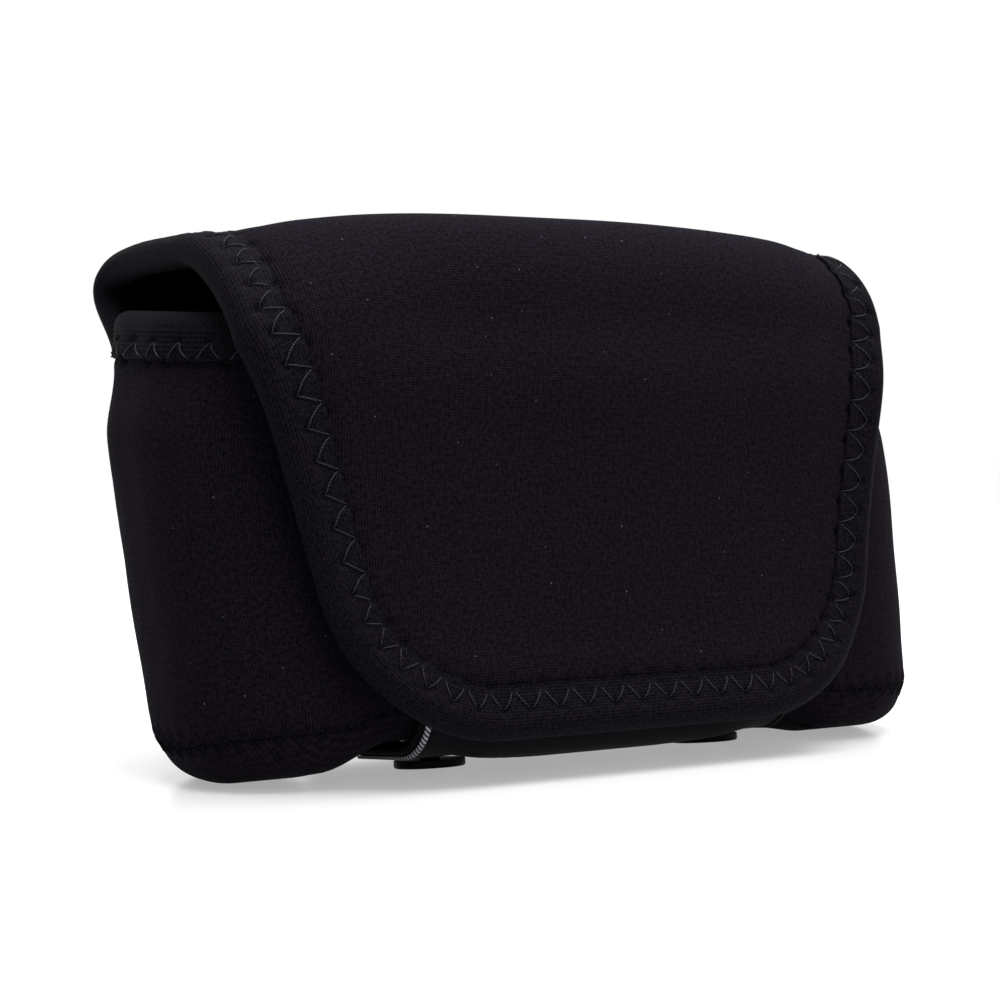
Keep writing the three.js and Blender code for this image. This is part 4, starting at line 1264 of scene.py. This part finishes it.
def flap_zigzag(name, start, end):
    """The zigzag through that tape. Its outer row of holes is in the tape, its inner row beside
    the panel."""
    half_pitch = stitch_pitch / 2
    inset, width = flap_rows
    holes = []
    for k in range(math.ceil(start / half_pitch), math.floor(end / half_pitch) + 1):
        x, s, out_x, out_s = (float(v) for v in edge_at(k * half_pitch))
        deep = inset + width * (k % 2)
        holes.append((x - out_x * deep, s - out_s * deep))

    def on_tape(across, s, lie):
        """A place on the tape's outer face, for the zigzag."""
        distance = np.clip(edge_distance(across, s), 0, tape_width)
        face = np.interp(distance, *tape_face)
        pit = needle_pits(edge_place(across, s), distance, 0.45, inset, width)
        sunk = 0.4 * ease((distance - inset - 0.45 * width) / (0.5 * width))
        return flap_point(across, s, face + lie - 0.9 * pit - sunk)

    return sewn(name, [zigzag(holes, on_tape, thread_radius + 0.03, 0.45)], thread_with_painted_sheen)


for name, node_name, start, end, bodies, bend in [
    (
        "front", "front", -middle_of_top_run, middle_of_top_run,
        ("flap_top", "flap_front"), front_bend,
    ),
    ("rear_left", "left", -root_run, -middle_of_top_run, ("body", "flap_top"), root_bend),
    ("rear_right", "right", middle_of_top_run, root_run, ("body", "flap_top"), root_bend),
]:
    edging = flap_tape(f"flap_tape_{name}", start, end)
    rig.blend(edging, *bodies, **bend)
    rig.replaces(edging, f"flap_binding_{node_name}")
    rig.slot(edging, "knit_tape")
    under = "front_flap_neoprene" if name == "front" else "rear_flap_neoprene"
    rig.sheet(edging, flat=(0.018, abs(end - start) / 1000), held="folded", rests_on=[under])
    thread_piece = flap_zigzag(f"flap_zigzag_{name}", start, end)
    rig.blend(thread_piece, *bodies, **bend)
    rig.replaces(thread_piece, f"flap_stitching_{node_name}")
    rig.slot(thread_piece, "thread")


# Hook and loop: a strip of stiff nylon hooks inside the flap's front, and a strip of soft loop
# pile on the body, both sewn down flat. They hold the flap closed.
patch_half_width, patch_low, patch_high, patch_thickness = 26, 20, 36, 0.7


def black_pile(name, roughness, size):
    """Black nylon pile. The hooks are stiff and a little shiny, the loops fuzzy and dull."""
    material, tree, output = new_material(name)
    flat = node(tree, "ShaderNodeUVMap", uv_map="cloth")
    tufts = node(tree, "ShaderNodeTexVoronoi", {"Vector": flat.outputs[0], "Scale": 1000 / size})
    tone = node(tree, "ShaderNodeMapRange", {"Value": tufts.outputs["Distance"], "From Max": 0.6})
    pile = node(tree, "ShaderNodeMix", {
        "Factor": tone.outputs[0], "A": colour("#1b191d"), "B": colour("#080709"),
    }, data_type="RGBA")
    relief = node(tree, "ShaderNodeBump", {
        "Strength": 0.9, "Distance": 0.0003, "Height": tufts.outputs["Distance"],
    }, invert=True)
    nylon = node(tree, "ShaderNodeBsdfPrincipled", {
        "Base Color": pile.outputs["Result"],
        "Roughness": roughness,
        "IOR": 1.53,
        "Specular IOR Level": 0.08,
        "Sheen Weight": 0.015,
        "Normal": relief.outputs[0],
    })
    tree.links.new(nylon.outputs[0], output.inputs["Surface"])
    return material


patch_u, patch_v = np.meshgrid(np.linspace(-1, 1, 105), np.linspace(0, 1, 33), indexing="ij")
patch_x, patch_rise = patch_u * patch_half_width, patch_high - patch_low
patch_cloth = np.stack([patch_x, patch_v * patch_rise], axis=-1)
tufts = 0.12 * np.sin(patch_u * 163) * np.sin(patch_v * 97)  # about 1 mm apart
rim_fall = round_edge(np.minimum(
    (1 - np.abs(patch_u)) * patch_half_width, np.minimum(patch_v, 1 - patch_v) * patch_rise,
), 0.3)
s = flap_length - (patch_high - patch_rise * patch_v - flap_hem)
hook_face = flap_point(patch_x, s, -foam / 2 - 0.15 - patch_thickness - tufts + rim_fall)
hook_back = flap_point(patch_x, s, -foam / 2 - 0.05)
hook_pile = black_pile("nylon_hooks", 0.5, 0.6)
hooks = layered("hook_patch_pile", hook_face, hook_back, hook_pile, patch_cloth)
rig.ride(hooks, "flap_front")
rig.replaces(hooks, "hook_patch")
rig.slot(hooks, "hook_and_loop")
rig.sheet(hooks, flat=(0.052, 0.016), held="laid", rests_on=["front_flap_neoprene"])

# The loops lie at even heights above the floor, found by turns from how far the base is lifted
x = flap_centre + patch_x
high = patch_low + patch_rise * patch_v
turn = 0.5 + x / (2 * (half_width(high) - corner(high)))
lifted = lift(x, -half_depth(high) - crown(x, high))
z = high
for _ in range(20):
    z = high - lifted * (1 - ease(z / lift_reach))
loop_face = wall_point(turn, length_at(z), gap + patch_thickness + tufts - rim_fall)
loop_back = wall_point(turn, length_at(z), 0.2)
loop_pile = black_pile("nylon_loops", 0.9, 0.45)
loops = layered("loop_patch_pile", loop_face, loop_back, loop_pile, patch_cloth)
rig.ride(loops, "body")
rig.replaces(loops, "loop_patch")
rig.slot(loops, "hook_and_loop")
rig.sheet(loops, flat=(0.052, 0.016), held="laid", rests_on=["front_wrap_neoprene"])


# Strap: smooth black polyester webbing, 1.4 mm thick, sewn high on the back. It hangs away from
# the back as a belt loop, turns under the base, and its tail ends on the base's front curve.
strap_up_front, strap_top, strap_sewn, strap_sag = 8.2, 54, 5, 1.3
belt_low, belt_high, belt_room = 22, 40, 6.6
fold_reach, fold_rise, sewn_ease = 8, 11, 4
fold_back = half_depths[0] - bottom_fillet
tail_run = 2 * fold_back + crowns[0]
tail_length = tail_run + strap_up_front


def under_point(x, along, offset):
    """A point under the base, at a length forward from the fold, round the base's front curve.
    Between the snaps and ahead of them the strap sags towards the floor."""
    x, along, offset = np.broadcast_arrays(x, along, offset)
    span = snap_spacing / 2 - cap_radius - 1 + 12 * ease((along - tail_run) / 3)
    between = ease((span - np.abs(x - strap_centre)) / 10)
    up_front = ease((along - tail_run) / strap_up_front)
    sag = strap_sag * between * ease((along - 4) / 14) * (1 - 0.4 * up_front)
    flat = stand(x, fold_back - along, -offset)
    angle = np.clip((along - tail_run) / bottom_fillet, 0, np.pi / 2)
    reach = bottom_fillet + offset
    z = bottom_fillet - reach * np.cos(angle)
    curled = stand(x, -(half_depth(z) + reach * np.sin(angle) - bottom_fillet + crowns[0]), z)
    place = np.where((along < tail_run)[..., None], flat, curled)
    return place - sag[..., None] * np.array([0, 0, 1])


def black_webbing(name, dark, light, rib):
    """Black polyester webbing in a fine rib weave, calendered smooth, so that it is a touch
    glossier than the jersey."""
    material, tree, output = new_material(name)
    flat = node(tree, "ShaderNodeUVMap", uv_map="cloth")
    split = node(tree, "ShaderNodeSeparateXYZ", {0: flat.outputs[0]})
    across = node(tree, "ShaderNodeMath", {
        0: split.outputs["X"], 1: 2 * math.pi * 1000 / rib,
    }, operation="MULTIPLY")
    along = node(tree, "ShaderNodeMath", {
        0: split.outputs["Y"], 1: math.pi * 1000 / rib,
    }, operation="MULTIPLY")
    warp = node(tree, "ShaderNodeMath", {0: across.outputs[0]}, operation="SINE")
    weft = node(tree, "ShaderNodeMath", {0: along.outputs[0]}, operation="SINE")
    weave = node(tree, "ShaderNodeMath", {
        0: warp.outputs[0], 1: weft.outputs[0],
    }, operation="MULTIPLY")
    tone = node(tree, "ShaderNodeMapRange", {"Value": weave.outputs[0], "From Min": -1})
    yarn = node(tree, "ShaderNodeMix", {
        "Factor": tone.outputs[0], "A": colour(dark), "B": colour(light),
    }, data_type="RGBA")
    relief = node(tree, "ShaderNodeBump", {
        "Strength": 0.5, "Distance": 0.00008, "Height": weave.outputs[0],
    })
    polyester = node(tree, "ShaderNodeBsdfPrincipled", {
        "Base Color": yarn.outputs["Result"],
        "Roughness": 0.7,
        "IOR": 1.55,
        "Specular IOR Level": 0.03,
        "Normal": relief.outputs[0],
    })
    tree.links.new(polyester.outputs[0], output.inputs["Surface"])
    return material


webbing = black_webbing("calendered_polyester_webbing", "#08070a", "#121014", 0.5)


def strap_layer(name, along, half_wide, low, high, surface, material, rounding):
    """A flat band under the base or down the back, between two offsets, with rounded edges."""
    share, run = np.meshgrid(np.linspace(-1, 1, 70), along, indexing="ij")
    from_end = np.minimum(run - along[0], along[-1] - run)
    fall = round_edge(np.minimum((1 - np.abs(share)) * half_wide, from_end), rounding)
    x = strap_centre + share * half_wide
    outer, inner = surface(x, run, high - fall), surface(x, run, low + fall)
    return layered(name, outer, inner, material, np.stack([share * half_wide, run], axis=-1))


tail = strap_layer(
    "strap_tail_webbing", shares((0, tail_run, 40), (tail_run, tail_length, 22)), strap_half_width,
    strap_gap, strap_room, under_point, webbing, 0.5,
)
post_hole = [(0, -8), (post_radius + gap, -8), (post_radius + gap, 3), (0, 3)]


def pierce(piece):
    """Cuts the snap posts' two holes in a band."""
    cut_out(piece, [turned("cutter", post_hole, snap_place(side), webbing) for side in (-1, 1)])


pierce(tail)
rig.blend(tail, "body", "strap_tail", start=(0, 0.0005, 0), end=(0, -0.0055, 0))
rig.replaces(tail, "strap_tail")
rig.slot(tail, "webbing")
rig.sheet(tail, flat=(0.069, 0.0302), held="folded", rests_on=["base_neoprene"])


def behind(z, offset):
    """A point behind the back, in the line of the strap."""
    return np.array([float(back_face(strap_centre, z)) + offset, z])


half_thick = strap_thickness / 2
fold_start = under_point(strap_centre, 0.0, strap_gap + half_thick)[1:]
belt_from, belt_to = (behind(z, belt_room + half_thick) for z in (belt_low, belt_high))
sewn_from, sewn_to = (behind(z, gap + half_thick) for z in (strap_top - strap_sewn, strap_top))
belt_way = (belt_to - belt_from) / np.linalg.norm(belt_to - belt_from)
sewn_way = (sewn_to - sewn_from) / np.linalg.norm(sewn_to - sewn_from)
fold_turn, belt_pull = fold_start + (fold_reach, 0), belt_from - fold_rise * belt_way
belt_turn, sewn_pull = belt_to + sewn_ease * belt_way, sewn_from - sewn_ease * sewn_way
belt_line = np.concatenate([
    bezier(fold_start, fold_turn, belt_pull, belt_from, 60),
    bezier(belt_to, belt_turn, sewn_pull, sewn_from, 40),
    [sewn_to],
])
belt_run = run_along(belt_line)


def belt_point(x, run, offset):
    """A point of the belt loop at a length up from the fold."""
    def at(run):
        return (np.interp(run, belt_run, belt_line[:, k]) for k in (0, 1))

    (y, z), (ahead_y, ahead_z), (past_y, past_z) = at(run), at(run + 0.4), at(run - 0.4)
    way_y, way_z = ahead_y - past_y, ahead_z - past_z
    size = np.hypot(way_y, way_z)
    return np.stack([x, y + way_z / size * offset, z - way_y / size * offset], axis=-1)


belt = strap_layer(
    "belt_strap_webbing", shares((0, belt_run[-1], 80)), strap_half_width,
    -half_thick, half_thick, belt_point, webbing, 0.5,
)
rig.ride(belt, "body")
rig.replaces(belt, "belt_strap")
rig.slot(belt, "webbing")
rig.sheet(
    belt, flat=(0.069, float(belt_run[-1]) / 1000), held="folded",
    rests_on=["back_panel_neoprene"],
)

# Two rows of straight stitches, 2.4 mm long, hold its top end
x = np.arange(-strap_half_width + 1.5, strap_half_width - 1.4, 0.25)
lie = 0.5 * np.sin((x + strap_half_width) * np.pi / 2.4) ** 2
stitch_rows = [
    belt_point(strap_centre + x, np.full_like(x, belt_run[-1] - row), half_thick - 0.3 + lie)
    for row in (1.3, 3.7)
]
strap_sewing = sewn("strap_sewing", stitch_rows, dark_thread)
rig.ride(strap_sewing, "body")
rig.slot(strap_sewing, "thread")


# Label: a woven black satin strip sewn under the tail, from behind the snaps to its front end.
# Its left end has a narrow white selvedge in a steep diagonal twill, its right end a black one.
label_back, label_margin, selvedge_width = 8, 0.6, 0.85


def woven_twill(name, dark, light, stripe, shine):
    """Woven polyester: diagonal twill lines, satin on the face."""
    material, tree, output = new_material(name)
    flat = node(tree, "ShaderNodeUVMap", uv_map="cloth")
    split = node(tree, "ShaderNodeSeparateXYZ", {0: flat.outputs[0]})
    slope = node(tree, "ShaderNodeMath", {
        0: split.outputs["X"], 1: 0.6, 2: split.outputs["Y"],
    }, operation="MULTIPLY_ADD")
    angle = node(tree, "ShaderNodeMath", {
        0: slope.outputs[0], 1: 2 * math.pi * 1000 / stripe,
    }, operation="MULTIPLY")
    wave = node(tree, "ShaderNodeMath", {0: angle.outputs[0]}, operation="SINE")
    tone = node(tree, "ShaderNodeMapRange", {
        "Value": wave.outputs[0], "From Min": -0.5, "From Max": 0.5,
    })
    yarn = node(tree, "ShaderNodeMix", {
        "Factor": tone.outputs[0], "A": colour(dark), "B": colour(light),
    }, data_type="RGBA")
    relief = node(tree, "ShaderNodeBump", {
        "Strength": 0.5, "Distance": 0.00006, "Height": wave.outputs[0],
    })
    satin = node(tree, "ShaderNodeBsdfPrincipled", {
        "Base Color": yarn.outputs["Result"],
        "Roughness": 0.6,
        "IOR": 1.55,
        "Specular IOR Level": shine,
        "Normal": relief.outputs[0],
    })
    tree.links.new(satin.outputs[0], output.inputs["Surface"])
    return material


label_start = fold_back + snap_forward - label_back
label_half = strap_half_width - label_margin
label_run = shares((label_start, tail_run, 26), (tail_run, tail_length - 0.15, 20))
black_satin = woven_twill("black_woven_satin", "#0a080c", "#0f0c12", 0.35, 0.03)
label = strap_layer(
    "label_satin", label_run, label_half - selvedge_width - 0.05,
    strap_room + 0.06, strap_room + label_thickness, under_point, black_satin, 0.15,
)
pierce(label)
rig.ride(label, "strap_tail")
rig.replaces(label, "tail_label")
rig.slot(label, "label")
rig.sheet(label, flat=(0.065, 0.0208), held="folded", rests_on=["strap_tail_webbing"])

white_twill = woven_twill("white_twill_selvedge", "#1a191d", "#b9bbc6", 0.6, 0.2)
for side, name, selvedge_weave in ((-1, "left", white_twill), (1, "right", black_satin)):
    share, run = np.meshgrid(np.linspace(0, 1, 7), label_run, indexing="ij")
    x = strap_centre + side * (label_half - selvedge_width * (1 - share))
    fall = round_edge(np.minimum(share, 1 - share) * selvedge_width, 0.25)
    outer = under_point(x, run, strap_room + label_thickness + 0.12 - fall)
    inner = under_point(x, run, strap_room + 0.04)
    places = np.stack([x, run], axis=-1)
    selvedge = layered(f"label_selvedge_{name}", outer, inner, selvedge_weave, places)
    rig.ride(selvedge, "strap_tail")
    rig.slot(selvedge, "label")


# Snaps: flat caps of black-coated steel under the label, each riveted to a socket ring. The ring
# grips a stud in the base, whose plate clamps the foam from inside.
def black_coat(name):
    """Baked black enamel over pressed steel: satin, with a fine orange peel and paler wear."""
    material, tree, output = new_material(name)
    place = node(tree, "ShaderNodeTexCoord")
    peel = node(tree, "ShaderNodeTexNoise", {
        "Vector": place.outputs["Object"], "Scale": 2500, "Detail": 3,
    })
    wear = node(tree, "ShaderNodeTexNoise", {
        "Vector": place.outputs["Object"], "Scale": 350, "Detail": 4,
    })
    tone = node(tree, "ShaderNodeMapRange", {
        "Value": wear.outputs["Fac"], "From Min": 0.5, "From Max": 0.8,
    })
    paint = node(tree, "ShaderNodeMix", {
        "Factor": tone.outputs[0], "A": colour("#060507"), "B": colour("#0c0b0d"),
    }, data_type="RGBA")
    relief = node(tree, "ShaderNodeBump", {
        "Strength": 0.25, "Distance": 0.00003, "Height": peel.outputs["Fac"],
    })
    enamel = node(tree, "ShaderNodeBsdfPrincipled", {
        "Base Color": paint.outputs["Result"],
        "Roughness": 0.38,
        "IOR": 1.5,
        "Specular IOR Level": 0.03,
        "Normal": relief.outputs[0],
    })
    tree.links.new(enamel.outputs[0], output.inputs["Surface"])
    return material


def pressed_steel(name):
    """Nickel-plated pressed steel with fine rub marks."""
    material, tree, output = new_material(name)
    place = node(tree, "ShaderNodeTexCoord")
    marks = node(tree, "ShaderNodeTexNoise", {
        "Vector": place.outputs["Object"], "Scale": 1200, "Detail": 4,
    })
    tone = node(tree, "ShaderNodeMix", {
        "Factor": marks.outputs["Fac"], "A": colour("#8f8d8a"), "B": colour("#bdbbb6"),
    }, data_type="RGBA")
    rough = node(tree, "ShaderNodeMapRange", {
        "Value": marks.outputs["Fac"], "To Min": 0.22, "To Max": 0.4,
    })
    relief = node(tree, "ShaderNodeBump", {
        "Strength": 0.2, "Distance": 0.00002, "Height": marks.outputs["Fac"],
    })
    nickel = node(tree, "ShaderNodeBsdfPrincipled", {
        "Base Color": tone.outputs["Result"],
        "Metallic": 1,
        "Roughness": rough.outputs[0],
        "Normal": relief.outputs[0],
    })
    tree.links.new(nickel.outputs[0], output.inputs["Surface"])
    return material


enamel, nickel = black_coat("black_enamelled_steel"), pressed_steel("nickel_plated_steel")
ring_floor, stud_flange, cap_bevel = 0.4, 0.3, 0.4
ring_low, stud_top = -strap_gap + gap, recess_depth - gap
ring_top, post_end = stud_top - stud_flange - gap, ring_low + ring_floor
bevel = [
    (cap_radius - cap_bevel * (1 - math.sin(t)), -cap_face + cap_bevel * (1 - math.cos(t)))
    for t in np.linspace(0, math.pi / 2, 7)
]
cap_back = -cap_face + cap_thickness
cap_profile = [
    (0, -cap_face), (3.2, -cap_face), (3.35, -cap_face + 0.06), (3.5, -cap_face), *bevel,
    (cap_radius, cap_back - 0.1), (cap_radius - 0.1, cap_back),
    (post_radius, cap_back), (post_radius, post_end), (0, post_end),
]
socket_profile = [
    (post_radius + gap, ring_low), (ring_radius - 0.2, ring_low), (ring_radius, ring_low + 0.2),
    (ring_radius, ring_top - 0.3), (ring_radius - 0.3, ring_top),
    (stud_radius + gap + 0.2, ring_top), (stud_radius + gap, ring_top - 0.2),
    (stud_radius + gap, post_end), (post_radius + gap, post_end), (post_radius + gap, ring_low),
]
stud_low, flange_low = post_end + gap, stud_top - stud_flange
stud_profile = [
    (0, stud_low), (stud_radius - 0.35, stud_low), (stud_radius, stud_low + 0.35),
    (stud_radius, flange_low), (ring_radius, flange_low), (ring_radius, stud_top), (0, stud_top),
]
plate_low, plate_top = foam + gap, foam + gap + cap_thickness
plate_profile = [
    (0, recess_depth), (post_radius, recess_depth), (post_radius, plate_low),
    (cap_radius, plate_low), (cap_radius, plate_top - cap_bevel),
    (cap_radius - cap_bevel, plate_top), (0, plate_top),
]
for side, name in ((-1, "left"), (1, "right")):
    for kind, profile, material, body, slot in [
        ("cap", cap_profile, enamel, "strap_tail", "cap_plastic"),
        ("socket", socket_profile, nickel, "strap_tail", "snap_metal"),
        ("stud", stud_profile, nickel, "body", "snap_metal"),
        ("plate", plate_profile, nickel, "body", "snap_metal"),
    ]:
        piece = turned(f"{kind}_{name}", profile, snap_place(side), material)
        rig.ride(piece, body)
        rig.replaces(piece, f"snap_{kind}_{name}")
        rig.slot(piece, slot)

with open("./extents.json", "w") as sizes:
    json.dump({"cad": cad_box, "visual": [list(corner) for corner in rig.bounds()]}, sizes)
